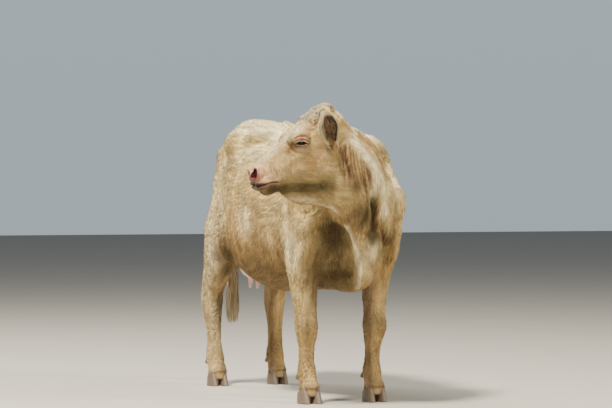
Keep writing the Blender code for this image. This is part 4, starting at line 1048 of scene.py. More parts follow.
def markings(points, normals):  # one colour for each point of skin and coat, from named places, painted shade and highlights among them
    place = intoHead(points)
    x, y, z = points.T
    ahead, aside, up = place.T
    face = headShare(points)
    body = 1 - face
    colours = plain(coatLook["cream"], len(points))

    def lay(name, amount, mask):
        mixed(colours, mask, name, amount)

    lay("pale", 0.6, fade(0.5 + 0.5 * wander(points, 5.0, 31), 0.55, 1.1))
    lay("tan", 0.45, fade(0.5 + 0.5 * wander(points, 9.0, 32), 0.55, 1.1))
    # painted shade: the body darkens towards its lower half, most on the barrel, and wherever the skin faces
    # down
    lay("tan", 0.35, body * fade(-z, -1.25, -0.75) * (1 - 0.5 * fade(z, 0.0, 0.6)))
    lay("tan", 0.7, body * fade(-normals[:, 2], 0.0, 0.8))
    barrel = body * fade(y, -0.48, -0.34) * (1 - fade(y, 0.42, 0.6) * fade(-z, -0.75, -0.65))
    lay("tan", 0.6, barrel * fade(-z, -1.02, -0.66))
    lay("soilAndShade", 0.72, barrel * fade(-z, -0.86, -0.62))
    # painted highlight: skin high on the body that faces up is paler
    lay("pale", 0.6, fade(normals[:, 2], 0.35, 0.9) * fade(z, 1.0, 1.2))
    lay("tan", 0.4, fade(-z, -0.62, -0.25))
    lay("soilAndShade", 0.75, fade(-z, -0.3, -0.08) * (0.6 + 0.4 * wander(points, 25.0, 33)))
    lay("shadeHair", 0.85, fade(-z, -0.135, -0.095))
    lay("soilAndShade", 0.5, hump(z, 0.42, 0.05) * fade(-y, 0.53, 0.57) * (z < 0.55))  # the knees

    # the folded neck and the chest, with their painted shade and highlights
    neckSide = fade(x, -0.235, -0.2) * fade(-x, -0.02, 0.05)
    neckSide *= fade(-y, 0.9, 0.95) * fade(z, 0.95, 1.05) * (1 - fade(z, 1.32, 1.37))
    body = np.maximum(body, neckSide)
    lay("tan", 0.4, neckSide * (0.6 + 0.4 * wander(points * (1, 0.3, 0.3), 120.0, 34)))
    for fold, (width, name, amount) in foldShades.items():
        lay(name, amount, body * furrow(points, folds[fold][0], width, 1.0, 0.12))
    for middle, half, name, amount in marks.values():
        lay(name, amount, body * mound(points, middle, half))
    for fold, (width, name, amount) in ridgeHighlights.items():
        lay(name, amount, body * furrow(points, folds[fold][0], width, 1.0, 0.12))
    throat = fade(-y, 0.8, 0.86) * fade(-z, -1.06, -1.03) * fade(z, 0.9, 0.93)
    for path, half, name, amount in throatLightAndShadow:
        lay(name, amount, throat * hump(pathDistance(points, path)[0], 0, half))
    # painted shade on the legs' inner sides, the sides turned from the light
    outward = np.sign(x)
    leg = fade(-z, -0.85, -0.7) * fade(x * outward, 0.1, 0.12)
    lay("mauve", 0.45, leg * fade(-normals[:, 0] * outward, 0.2, 0.8))
    lay("rustAndShade", 0.6, (y > 0.835) * fade(-z, -0.9, -0.75) * (np.abs(x + 0.03) < 0.03))

    # the face
    face = face * (1 - neckSide)
    lay("tan", 0.42, face)
    brow = face * fade(up, -0.07, -0.01) * fade(-ahead, -0.3, -0.2)
    lay("tan", 0.75, brow * (0.7 + 0.5 * wander(place, 45.0, 37)))
    lay("shadeHair", 0.8, face * hump(ahead, 0.03, 0.055) * hump(aside, 0, 0.075) * fade(up, -0.05, 0.0))
    lay("tan", 0.45, fade(face * (0.5 + 0.5 * wander(place, 30.0, 35)), 0.5, 1.1))
    lay("pale", 0.6, face * fade(up, -0.02, 0.012) * fade(-ahead, -0.42, -0.34))
    for forward, high, wide, tall, name, amount in cheekMarks:
        lay(name, amount, face * hump(ahead, forward, wide) * hump(up, high, tall))
    profile = place[:, (0, 2)]
    # painted shade along the jaw's lower edge, under the cheek
    jaw, _ = pathDistance(profile, jawLine)
    lay("oliveShade", 0.97, face * hump(jaw, 0, 0.036) * (0.97 + 0.25 * wander(place, 55.0, 42)))
    lay("shade", 0.42, face * hump(jaw, 0, 0.024) * fade(ahead, 0.19, 0.34))
    lay("shadeHair", 0.4, face * fade(wander(place, 230.0, 41), 0.35, 0.8) * (1 - fade(ahead, 0.36, 0.42)))
    lay("shadeHair", 0.45, face * hump(pathDistance(profile, lipShade)[0], 0, 0.014))
    for sign in (1, -1):
        local, _ = eyeLocal(points, sign)
        p, q = local[:, 0], local[:, 1]
        gap = slitGap(p, q)
        here = face * (np.linalg.norm(local, axis=1) < 0.11) * (local[:, 2] > -0.03)
        for forward, high, wide, tall, name, amount in eyeMarks:
            lay(name, amount, here * hump(p, forward, wide) * hump(q, high, tall))
        # round the slit: the lids' own dark brown edges, with painted shade under the upper lid and in the
        # slit
        lay("rustAndShade", 0.92, here * fade(-gap, -0.015, -0.007) * (q > 0))
        lay("rustAndShade", 0.88, here * fade(-gap, -0.014, -0.006) * (q <= 0))
        lay("shade", 0.5, here * (1 - fade(gap, 0.0015, 0.005)))
        lay("dark", 0.85, here * (1 - fade(gap, 0.0002, 0.0026)))
        tear, share = pathDistance(place, flipped(tearPath, sign, 1))
        lay("rustAndShade", 0.92, face * hump(tear, 0, 0.0075 + 0.005 * share))

    # the muzzle
    lay("flesh", 0.3, fade(ahead, 0.345, 0.4) * face * fade(up, -0.11, -0.07))
    # darker lines in the nose's creases, partly painted shade in them
    for bend in noseCreases:
        lay("soilAndShade", 0.55, face * hump(pathDistance(profile, bend)[0], 0, 0.0036))
    lay("flesh", 0.85, bareShare(points))
    for sign in (1, -1):
        local, _, rho = nostrilLocal(points, sign)
        here = np.abs(local[:, 0]) < 0.05
        lay("rose", 0.9, face * here * (1 - fade(rho, 1.1, 2.1)) * fade(-up, -0.005, 0.02))
        # the nostril's inside painted near-black: its own dark skin and painted shade in the hollow
        lay("dark", 0.98, here * (1 - fade(rho, 1.0, 1.34)))
    lips = lipGap(place)
    wetFront = fade(ahead, 0.458, 0.476) * hump(up, -0.026, 0.028) * fade(-aside, -0.035, -0.01)
    lay("dark", 0.9, face * wetFront)
    lay("dark", 0.85, face * hump(lips, 0.006, 0.011) * fade(ahead, 0.425, 0.455))
    lay("dark", 0.96, face * hump(ahead, 0.474, 0.02) * hump(up, -0.06, 0.021))
    lay("dark", 0.92, face * (ahead > 0.37) * hump(lips, 0, 0.006))
    # painted shade under the chin and lower lip
    chin = face * fade(ahead, 0.352, 0.415) * fade(-lips, 0.002, 0.01) * (1 - fade(-lips, 0.05, 0.095))
    lay("shade", 0.85, chin * (0.85 + 0.3 * wander(place, 90.0, 43)))
    lay("dark", 0.55, fade(ahead, 0.455, 0.475) * face * fade(wander(place, 140.0, 36), 0.1, 0.6))
    # painted shade in the grooves of the neck's wrinkles
    lay("rustAndShade", 0.97, neckSide * np.clip(1.3 * neckWrinkles(points) / wrinkles["depth"], 0, 1))
    lay("shade", 0.85, mound(points, (-0.256, -1.012, 1.254), 0.013))  # painted shade under the near ear
    pollGapShadow = headFrame @ Vector((-0.003, 0.066, -0.006))  # painted shadow in the gap where the near ear meets the poll
    lay("dark", 0.95, mound(points, np.array(pollGapShadow), 0.012))
    return colours


def bareShare(points):  # the hairless muzzle and lips
    place = intoHead(points)
    ahead, _, up = place.T
    pad = fade(ahead, 0.436, 0.454) * fade(up, -0.095, -0.075) * (1 - fade(up, -0.004, 0.01))
    rim = hump(lipGap(place), 0, 0.008) * (ahead > 0.375)
    hole = np.zeros(len(points))
    for sign in (1, -1):
        local, _, rho = nostrilLocal(points, sign)
        hole = np.maximum(hole, (np.abs(local[:, 0]) < 0.05) * (1 - fade(rho, 1.2, 1.7)))
    return np.clip(np.maximum.reduce([pad, rim, hole]), 0, 1) * headShare(points)


def hairDensity(points):  # share of the full number of tufts
    density = 1 - fade(bareShare(points), 0.25, 0.6)
    for sign in (1, -1):
        local, _ = eyeLocal(points, sign)
        here = (np.linalg.norm(local, axis=1) < 0.06) & (local[:, 2] > 0)
        density *= np.where(here, fade(slitGap(local[:, 0], local[:, 1]), 0.0035, 0.006), 1)
    for _, near, over in overClaws(points):
        density *= np.where(near & (over < 0.001), 0, 1)
    return density


def hairLength(points):
    ahead = intoHead(points)[:, 0]
    face = headShare(points)
    _, y, z = points.T
    wanted = coatLook["length"]
    low, foot = fade(-z, -0.75, -0.55), fade(-z, -0.2, -0.12)
    front = fade(-y, 0.55, 0.75)
    length = (wanted["body"] + front * (wanted["neck"] - wanted["body"])) * (1 - low) + wanted["legs"] * low
    length = length * (1 - foot) + wanted["feet"] * foot
    onFace = wanted["face"] * (1 + 0.7 * fade(-ahead, -0.16, -0.02)) * (1 - 0.35 * fade(ahead, 0.33, 0.44))
    return (length * (1 - face) + onFace * face) * (1 + 0.15 * wander(points, 30.0, 40))


coatPieces = (
    "coatLeft", "coatRight", "coatRumpLeft", "coatRumpRight", "coatNeck", "coatForelegs", "coatHindlegs",
    "coatHeadLeft", "coatHeadRight",
)


def partOf(points):  # which coat piece a face belongs to
    x, y, z = points.T
    part = np.where(x > 0, 0, 1)
    part = np.where(y > 0.28, 2 + (x <= 0), part)
    part = np.where((y < -0.6) & (z > 0.7), 4, part)
    part = np.where((z < 0.68) & (y < -0.3) & (np.abs(x) > 0.09), 5, part)
    part = np.where((z < 0.7) & (y > 0.4) & (np.abs(x) > 0.06), 6, part)
    return np.where(headShare(points) > 0.5, 7 + (intoHead(points)[:, 1] < 0.0), part)


def keepValues(mesh, name, kind, values, domain="POINT"):
    slot = {"FLOAT_VECTOR": "vector", "FLOAT_COLOR": "color", "FLOAT2": "vector"}.get(kind, "value")
    mesh.attributes.new(name, kind, domain).data.foreach_set(slot, np.asarray(values).ravel())


def tinted(mesh, colours):
    keepValues(mesh, "tint", "FLOAT_COLOR", np.concatenate([colours, np.ones((len(colours), 1))], 1))


def unwrapByParts(mesh, part, name):  # each part is laid out by the six ways its faces look, at one scale
    normals = gathered(mesh.polygons, "normal", 3)
    corners = cornersOf(mesh)
    faceOf = np.repeat(np.arange(len(normals)), gathered(mesh.polygons, "loop_total", kind=np.int64))
    points = pointsOf(mesh)
    axis = np.abs(normals).argmax(1)
    way = axis * 2 + (normals[np.arange(len(normals)), axis] > 0)
    flat = np.zeros((len(corners), 2))
    for one in np.unique(part):
        boxes = []
        for side in range(6):
            chosen = np.nonzero((part[faceOf] == one) & (way[faceOf] == side))[0]
            if len(chosen) == 0:
                continue
            spot = points[corners[chosen]][:, [k for k in range(3) if k != side // 2]]
            low = spot.min(0)
            boxes.append((chosen, spot - low, *(spot.max(0) - low + 0.01)))
        boxes.sort(key=lambda box: -box[3])
        width = max(1.1 * math.sqrt(sum(box[2] * box[3] for box in boxes)), max(box[2] for box in boxes))
        x = y = tall = 0.0
        for chosen, spot, wide, high in boxes:
            if x + wide > width:
                x, y, tall = 0.0, y + tall, 0.0
            flat[chosen] = spot + (x, y)
            x, tall = x + wide, max(tall, high)
        flat[part[faceOf] == one] /= max(width, y + tall)
    keepValues(mesh, name, "FLOAT2", flat, "CORNER")


def dressSkin(mesh):
    points, normals = pointsOf(mesh), normalsOf(mesh)
    field = combed(points, normals)
    uneven = 1 + (0.34 - 0.12 * headShare(points)) * streaks(mesh, field)
    uneven *= 1 + 0.12 * streaks(mesh, field, 14, 78)
    tinted(mesh, markings(points, normals) * uneven[:, None])
    keepValues(mesh, "bare", "FLOAT", bareShare(points))
    keepValues(mesh, "lie", "FLOAT_VECTOR", field)
    keepValues(mesh, "hairLength", "FLOAT", hairLength(points))
    keepValues(mesh, "hairDensity", "FLOAT", hairDensity(points))
    part = partOf(gathered(mesh.polygons, "center", 3))
    keepValues(mesh, "coatPart", "INT", part.astype(np.int32), "FACE")
    unwrapByParts(mesh, part, "coatMap")


dressSkin(skinMesh)
print("skin marked and combed")


# Nodes written as sums

class Wire:  # one socket of a node tree
    def __init__(self, graph, socket):
        self.graph, self.socket = graph, socket

    def maths(self, operation, first, second):
        return self.graph.add("ShaderNodeMath", {"operation": operation}, {0: first, 1: second})

    def __add__(self, other):
        return self.maths("ADD", self, other)

    def __radd__(self, other):
        return self.maths("ADD", other, self)

    def __sub__(self, other):
        return self.maths("SUBTRACT", self, other)

    def __rsub__(self, other):
        return self.maths("SUBTRACT", other, self)

    def __mul__(self, other):
        return self.maths("MULTIPLY", self, other)

    def __rmul__(self, other):
        return self.maths("MULTIPLY", other, self)


class Graph:
    def __init__(self, tree):
        self.tree = tree

    def add(self, kind, settings=None, values=None, out=0):
        node = self.tree.nodes.new(kind)
        for name, value in (settings or {}).items():
            setattr(node, name, value)
        for key, value in (values or {}).items():
            if isinstance(value, Wire):
                self.tree.links.new(value.socket, node.inputs[key])
            else:
                node.inputs[key].default_value = value
        return Wire(self, node.outputs[out])

    def vector(self, operation, first, second=(0, 0, 0), scale=1.0):
        values = {0: first, 1: second, 3: scale}
        return self.add("ShaderNodeVectorMath", {"operation": operation}, values)

    def scaled(self, vector, scale):
        return self.vector("SCALE", vector, scale=scale)

    def blend(self, mask, first, second):  # two colours
        return self.add("ShaderNodeMix", {"data_type": "RGBA"}, {0: mask, 6: first, 7: second}, 2)

    def noise(self, where, scale, detail, roughness=0.5):
        values = {"Vector": where, "Scale": scale, "Detail": detail, "Roughness": roughness}
        return self.add("ShaderNodeTexNoise", {}, values)

    def bump(self, strength, distance, height):
        return self.add("ShaderNodeBump", {}, {"Strength": strength, "Distance": distance, "Height": height})

    def where(self):  # the place in the piece's own metres
        return self.add("ShaderNodeTexCoord", out=3)

    def kept(self, name, out=0):  # a value kept on the mesh, in a material
        return self.add("ShaderNodeAttribute", {"attribute_name": name}, out=out)

    def named(self, kind, name):  # the same in Geometry Nodes
        return self.add("GeometryNodeInputNamedAttribute", {"data_type": kind}, {"Name": name})

    def random(self, low, high, seed):
        return self.add("FunctionNodeRandomValue", {"data_type": "FLOAT"}, {2: low, 3: high, "Seed": seed}, 1)

    def store(self, kind, domain, geometry, name, value):
        settings = {"data_type": kind, "domain": domain}
        values = {"Geometry": geometry, "Name": name, "Value": value}
        return self.add("GeometryNodeStoreNamedAttribute", settings, values)


# The coat: flat tufts laid over the skin

tuftForm = {
    "thick": 0.14,
    # share of the length, half width, height over the skin
    "stations": ((0.0, 0.34, -0.04), (0.34, 0.5, 0.022), (1.0, 0.0, 0.004)),
}
coat = {
    "seed": 7, "patch": 0.003,
    # tufts a square metre, closest spacing, width
    "coatLeft": (28000, 0.0038, 0.0034), "coatRight": (27000, 0.0038, 0.0034),
    "coatRumpLeft": (32000, 0.0036, 0.0034), "coatRumpRight": (32000, 0.0036, 0.0034),
    "coatNeck": (46000, 0.003, 0.0029), "coatForelegs": (52000, 0.0029, 0.0027),
    "coatHindlegs": (48000, 0.003, 0.0027), "coatHeadLeft": (124000, 0.0019, 0.002),
    "coatHeadRight": (104000, 0.0021, 0.0021), "ears": (90000, 0.0022, 0.0022),
}


def tuftObject():
    shape = bmesh.new()
    patch = shape.verts.layers.float_vector.new("patch")
    rings = []
    for along, half, height in tuftForm["stations"]:
        places = ((-half, 0.0), (0.0, tuftForm["thick"] * half), (half, 0.0)) if half else ((0.0, 0.0),)
        ring = []
        for across, rise in places:
            vert = shape.verts.new((across, along, height + rise))
            vert[patch] = (across, along - 0.5, 0.0)
            ring.append(vert)
        rings.append(ring)
    for first, second in zip(rings, rings[1:]):
        for i in range(3):
            j = (i + 1) % 3
            end = (second[j], second[i]) if len(second) == 3 else second
            shape.faces.new((first[i], first[j], *end))
    shape.faces.new(rings[0])
    mesh = finishMesh(shape, "shortTuft")
    mesh.shade_smooth()
    return newObject("shortTuft", mesh)


def coatTree():
    tree = bpy.data.node_groups.new("coatTufts", "GeometryNodeTree")
    sockets = {
        "Skin": "Geometry", "Part": "Int", "Tufts per area": "Float", "Spacing": "Float", "Width": "Float",
        "Lift": "Float", "Spread": "Float", "Patch": "Float", "Seed": "Int", "Tuft": "Object",
        "Finish": "Material",
    }
    for name, kind in sockets.items():
        tree.interface.new_socket(name, in_out="INPUT", socket_type="NodeSocket" + kind)
    tree.interface.new_socket("Coat", in_out="OUTPUT", socket_type="NodeSocketGeometry")
    g = Graph(tree)
    group = tree.nodes.new("NodeGroupInput")
    given = {name: Wire(g, group.outputs[name]) for name in sockets}
    seed = given["Seed"]
    part = {2: g.named("INT", "coatPart"), 3: given["Part"]}
    here = g.add("FunctionNodeCompare", {"data_type": "INT", "operation": "EQUAL"}, part)
    chosen = {"Geometry": given["Skin"], "Selection": here}
    surface = g.add("GeometryNodeSeparateGeometry", {"domain": "FACE"}, chosen)
    points = g.add(
        "GeometryNodeDistributePointsOnFaces", {"distribute_method": "POISSON"},
        {"Mesh": surface, "Distance Min": given["Spacing"], "Density Max": given["Tufts per area"],
         "Density Factor": g.named("FLOAT", "hairDensity"), "Seed": seed},
    )
    normal = Wire(g, points.socket.node.outputs["Normal"])
    spread = {0: (-1, -1, -1), 1: (1, 1, 1), "Seed": seed + 1}
    jitter = g.add("FunctionNodeRandomValue", {"data_type": "FLOAT_VECTOR"}, spread)
    way = g.vector("ADD", g.named("FLOAT_VECTOR", "lie"), g.scaled(jitter, given["Spread"]))
    way = g.vector("ADD", way, g.scaled(normal, given["Lift"]))
    turn = g.add("FunctionNodeAlignRotationToVector", {"axis": "Y"}, {"Vector": way})
    upright = {"Rotation": turn, "Vector": normal}
    turn = g.add("FunctionNodeAlignRotationToVector", {"axis": "Z", "pivot_axis": "Y"}, upright)
    marked = g.store("FLOAT", "POINT", points, "strand", g.random(0.0, 1.0, seed + 4))
    length = g.named("FLOAT", "hairLength") * g.random(0.7, 1.2, seed + 2)
    width = given["Width"] * g.random(0.65, 1.25, seed + 3)
    size = g.add("ShaderNodeCombineXYZ", {}, {0: width, 1: length, 2: length})
    form = g.add("GeometryNodeObjectInfo", {}, {"Object": given["Tuft"]}, 4)
    placing = {"Points": marked, "Instance": form, "Rotation": turn, "Scale": size}
    tufts = g.add("GeometryNodeInstanceOnPoints", {}, placing)
    whole = g.add("GeometryNodeRealizeInstances", {}, {"Geometry": tufts})
    patch = g.scaled(g.named("FLOAT_VECTOR", "patch"), given["Patch"])
    spot = g.vector("ADD", g.named("FLOAT_VECTOR", "coatMap"), patch)
    mapped = g.store("FLOAT2", "CORNER", whole, "OFBake", spot)
    for name in ("lie", "hairLength", "hairDensity", "coatPart", "coatMap"):
        mapped = g.add("GeometryNodeRemoveAttribute", {}, {"Geometry": mapped, "Name": name})
    done = g.add("GeometryNodeSetMaterial", {}, {"Geometry": mapped, "Material": given["Finish"]})
    out = tree.nodes.new("NodeGroupOutput")
    tree.links.new(done.socket, out.inputs[0])
    return tree


def layCoat(surface, name, part, numbers, lift=0.06, spread=0.13):
    carrier = newObject(name + "Carrier", surface)
    step = carrier.modifiers.new("coat", "NODES")
    step.node_group = tuftTree
    known = {item.name: item.identifier for item in tuftTree.interface.items_tree if item.in_out == "INPUT"}
    amount, spacing, width = numbers
    values = {
        "Part": part, "Tufts per area": float(amount), "Spacing": spacing, "Width": width, "Lift": lift,
        "Spread": spread, "Patch": coat["patch"], "Seed": coat["seed"] + 10 * part, "Tuft": shortTuft,
        "Finish": tuftFinish,
    }
    for label, value in values.items():
        step[known[label]] = value
    mesh = evaluated(carrier, name)
    removeObject(carrier)
    print(name, len(mesh.polygons), "faces")
    placed(newObject(name, mesh))


# Finishes

finishes = {
    "coatRough": 0.8, "muzzleRough": 0.38, "sheen": 0.04,
    "horn": ((0.2, 0.145, 0.095, 1), (0.085, 0.06, 0.042, 1)), "hornRough": 0.48,
    "udder": (0.74, 0.53, 0.43), "teats": (0.66, 0.4, 0.33),
}


def newFinish(name):
    made = bpy.data.materials.new(name)
    made.use_nodes = True
    return made, Graph(made.node_tree), made.node_tree.nodes["Principled BSDF"]


def feed(graph, shader, **values):
    names = {"base": "Base Color", "rough": "Roughness", "normal": "Normal"}
    for name, value in values.items():
        if isinstance(value, Wire):
            graph.tree.links.new(value.socket, shader.inputs[names[name]])
        else:
            shader.inputs[names[name]].default_value = value


def coatFinish(name, onSkin):
    made, g, shader = newFinish(name)
    bare, where = g.kept("bare", 2), g.where()
    fine = g.noise(where, 75.0, 4.0, 0.65)
    bright = 0.8 + 0.26 * g.noise(where, 9.0, 4.0, 0.6) + 0.2 * fine
    if onSkin:
        settings = {"Vector": where, "Rotation": (math.radians(-35), 0.0, 0.0), "Scale": (1.0, 1.0, 0.16)}
        lines = g.noise(g.add("ShaderNodeMapping", {}, settings), 190.0, 3.0, 0.6)
        bright = bright - 0.16 + 0.2 * lines
    else:  # each tuft its own strands
        strand = g.kept("strand", 2)
        spot = g.vector("MULTIPLY", g.kept("patch", 1), (5.5, 0.5, 0.0))
        spot = g.vector("ADD", spot, g.add("ShaderNodeCombineXYZ", {}, {2: 40.0 * strand}))
        hairs = g.noise(spot, 1.0, 2.0, 0.6)
        bright = bright - 0.31 + 0.28 * strand + 0.34 * hairs
        lines = 1.6 * hairs
    smooth = finishes["coatRough"] - finishes["muzzleRough"]
    rough = finishes["coatRough"] - smooth * bare + 0.06 * (fine - 0.5)
    cells = {"Vector": where, "Scale": 420.0, "Smoothness": 0.6}
    pebbles = g.add("ShaderNodeTexVoronoi", {"feature": "SMOOTH_F1"}, cells)
    height = lines * (1 - bare) + pebbles * bare * 0.8
    bump = g.bump(0.55 if onSkin else 0.45, 0.0016, height)
    feed(g, shader, base=g.scaled(g.kept("tint"), bright), rough=rough, normal=bump)
    shader.inputs["Sheen Weight"].default_value = finishes["sheen"]
    shader.inputs["Sheen Roughness"].default_value = 0.5
    shader.inputs["Specular IOR Level"].default_value = 0.22
    return made


def hornFinish():
    made, g, shader = newFinish("hoofHorn")
    where = g.where()
    rings = g.noise(g.vector("MULTIPLY", where, (6.0, 6.0, 160.0)), 1.0, 4.0)
    grain = g.noise(g.vector("MULTIPLY", where, (240.0, 240.0, 18.0)), 1.0, 3.0)
    dirt = g.noise(where, 28.0, 5.0)
    soiled = g.add("ShaderNodeClamp", {}, {"Value": 0.55 * rings + 0.5 * dirt})
    feed(
        g, shader, base=g.blend(soiled, *finishes["horn"]), rough=finishes["hornRough"] + 0.25 * (dirt - 0.5),
        normal=g.bump(0.5, 0.0012, rings + 0.4 * grain),
    )
    return made


def tintedFinish(name, rough, coatWeight=0.0, grain=0.0, sheen=0.0, specular=0.5):
    made, g, shader = newFinish(name)
    fine = g.noise(g.where(), 140.0, 4.0)
    feed(g, shader, base=g.scaled(g.kept("tint"), 0.86 + 0.28 * fine), rough=rough + 0.08 * (fine - 0.5))
    if grain:
        feed(g, shader, normal=g.bump(grain, 0.001, fine))
    shader.inputs["Coat Weight"].default_value = coatWeight
    shader.inputs["Coat Roughness"].default_value = 0.03
    shader.inputs["Sheen Weight"].default_value = sheen
    shader.inputs["Specular IOR Level"].default_value = specular
    return made


skinFinish = coatFinish("creamSkin", True)
tuftFinish = coatFinish("creamCoat", False)
horn = hornFinish()
wetFinish = tintedFinish("eyeBall", 0.09, 0.06, specular=0.14)
lidFinish = tintedFinish("lidEdge", 0.34, 0.25, 0.3)
udderFinish = tintedFinish("udderSkin", 0.55, 0.0, 0.6, 0.1)
lockFinish = tintedFinish("longHair", 0.62, 0.0, 0.0, 0.15)


def placed(thing, finish=None, replaced=()):  # moves a drawn piece onto the frame
    thing.data.transform(Matrix.Translation(shift))
    if finish is not None:
        thing.data.materials.clear()
        thing.data.materials.append(finish)
    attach(thing, "root")
    if replaced:
        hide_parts(*replaced)
    return thing


# Blades: lashes, fringes and the long locks, each a closed three-sided spindle

def bladesMesh(name, blades, stations=5, thick=0.3):
    verts, faces, uvs, colours = [], [], [], []
    patch = coat["patch"]
    for root, onward, fall, length, width, spot, colour in blades:
        onward, fall = Vector(onward).normalized(), Vector(fall).normalized()
        centre, start, tip = Vector(root), len(verts), len(verts) + 3 * (stations - 1)
        side = onward.cross(fall)
        side = side.normalized() if side.length > 1e-4 else onward.orthogonal().normalized()
        for i in range(stations - 1):
            t = i / (stations - 1)
            heading = onward.lerp(fall, t).normalized()
            if i:
                centre = centre + heading * (length / (stations - 1))
            across = (side - heading * heading.dot(side)).normalized()
            lift = across.cross(heading)
            half = width / 2 * (1 - t) ** 0.55 * (0.75 + 0.5 * min(1, 3 * t))
            for a, b in ((-1, 0), (0, thick), (1, 0)):
                verts.append(tuple(centre + across * half * a + lift * half * b))
                uvs.append((spot[0] + a * patch / 2, spot[1] + (t - 0.5) * patch))
            for k in range(3):
                a, b = start + 3 * i + k, start + 3 * i + (k + 1) % 3
                faces.append((a, b, b + 3, a + 3) if i < stations - 2 else (a, b, tip))
        verts.append(tuple(centre + onward.lerp(fall, 1.0).normalized() * (length / (stations - 1))))
        uvs.append((spot[0], spot[1] + patch / 2))
        faces.append((start + 2, start + 1, start))
        colours += [colour] * (3 * (stations - 1) + 1)
    mesh = meshFrom(name, verts, faces)
    keepValues(mesh, "OFBake", "FLOAT2", np.array(uvs)[cornersOf(mesh)], "CORNER")
    tinted(mesh, np.array(colours))
    return mesh


# Ears

earLook = {
    "along": 46, "across": 40, "thick": 0.0032, "rim": 0.0042,
    # folds inside the cup: place across, lean, height, half width, where along the ear
    "ridges": (
        (-0.4, 0.25, 0.004, 0.11, 0.12, 0.62), (0.02, 0.34, 0.0052, 0.12, 0.05, 0.8),
        (0.4, 0.2, 0.0036, 0.1, 0.1, 0.55),
    ),
}


def earFold(t, v):  # height of the folds at a place in the cup
    total = 0.0
    for middle, lean, height, half, low, high in earLook["ridges"]:
        centre = middle + lean * (t - 0.3) + 0.05 * np.sin(11 * t + 7 * middle)
        ends = fade(t, low - 0.08, low + 0.05) * (1 - fade(t, high - 0.12, high + 0.1))
        total = total + height * hump(v, centre, half) * ends
    return total


def earForm(t):
    half = 0.5 * ear["width"] * math.sin(math.pi * (0.13 + 0.87 * t) ** 0.86) ** 0.62
    roll = math.radians(225 - 150 * min(1.0, t / 0.6) ** 0.8)
    return max(half, 0.003), roll, -0.01 + 0.022 * t * t


def earPoint(t, v, inner):
    half, roll, back = earForm(t)
    outward = -1 if inner else 1
    radius = 2 * half / roll
    reach = radius + outward * earLook["thick"] * (1 - 0.4 * t) * (1 - 0.55 * abs(v) ** 3) / 2
    if inner:
        reach -= float(earFold(t, v))
    reach += 0.0012 * math.sin(9 * t + 5 * v)
    reach += outward * earLook["rim"] * math.exp(-(((abs(v) - 0.93) / 0.07) ** 2)) * (1 - 0.7 * t)
    angle = v * roll * (1 - 0.1 * math.sin(math.pi * min(1.0, t / 0.5))) / 2
    opening = back + radius - reach * math.cos(angle)
    return Vector((reach * math.sin(angle), opening, 0.006 + t * ear["length"]))


def earSkin(sign):
    place = earPlace(sign)
    along, across = earLook["along"], earLook["across"]
    grid, points, where = {}, [], []
    for inner in (False, True):
        for i in range(along + 1):
            for j in range(across + 1):
                t, v = i / along, 2 * j / across - 1
                grid[inner, i, j] = len(points)
                points.append(tuple(place @ earPoint(t, v, inner)))
                where.append((t, v, inner))
    faces = []
    for i in range(along):
        for j in range(across):
            for inner in (False, True):
                steps = ((i, j), (i, j + 1), (i + 1, j + 1), (i + 1, j))
                faces.append([grid[inner, a, b] for a, b in steps])
        for j in (0, across):
            faces.append([grid[False, i, j], grid[False, i + 1, j], grid[True, i + 1, j], grid[True, i, j]])
    for i in (0, along):
        for j in range(across):
            faces.append([grid[False, i, j], grid[False, i, j + 1], grid[True, i, j + 1], grid[True, i, j]])
    mesh = meshFrom("ear", points, faces)
    t, v, inner = np.array(where, float).T
    beside = np.abs(v)
    colours = plain(coatLook["cream"], len(t))
    mixed(colours, fade(v * sign, 0.2, 0.9) * (1 - inner), "tan", 0.3)
    # the cup's inside is painted near-black: its own darker skin and painted shade in its hollow
    mixed(colours, inner * (1 - fade(beside, 0.8, 0.97)), "earCupSkinAndShade")
    raised = inner * np.clip(earFold(t, v) / 0.0042, 0, 1)
    mixed(colours, raised * (1 - fade(beside, 0.75, 0.9)), "earRed", 0.85)
    mixed(colours, inner * fade(t, 0.8, 0.92) * (1 - fade(beside, 0.8, 0.97)), "cream", 0.9)
    mixed(colours, inner * fade(v * sign, 0.3, 0.75), "pale", 0.85)
    tinted(mesh, colours)
    turn = np.array(place.to_3x3())
    field = turn[:, 2] + turn[:, 0] * (v * 0.45)[:, None]
    keepValues(mesh, "bare", "FLOAT", inner * 0.35 * (1 - fade(beside, 0.8, 0.97)))
    keepValues(mesh, "lie", "FLOAT_VECTOR", field / np.linalg.norm(field, axis=1)[:, None])
    keepValues(mesh, "hairLength", "FLOAT", np.where(inner > 0, 0.014, 0.013))
    keepValues(mesh, "hairDensity", "FLOAT", np.where(inner > 0, 0.06 + 0.9 * fade(beside, 0.78, 0.95), 1.0))
    keepValues(mesh, "coatPart", "INT", np.zeros(len(mesh.polygons), np.int32), "FACE")
    spot = np.stack([0.02 + 0.46 * (v + 1) / 2 + 0.5 * inner, 0.02 + 0.96 * t], 1)
    keepValues(mesh, "coatMap", "FLOAT2", spot[cornersOf(mesh)], "CORNER")
    return mesh


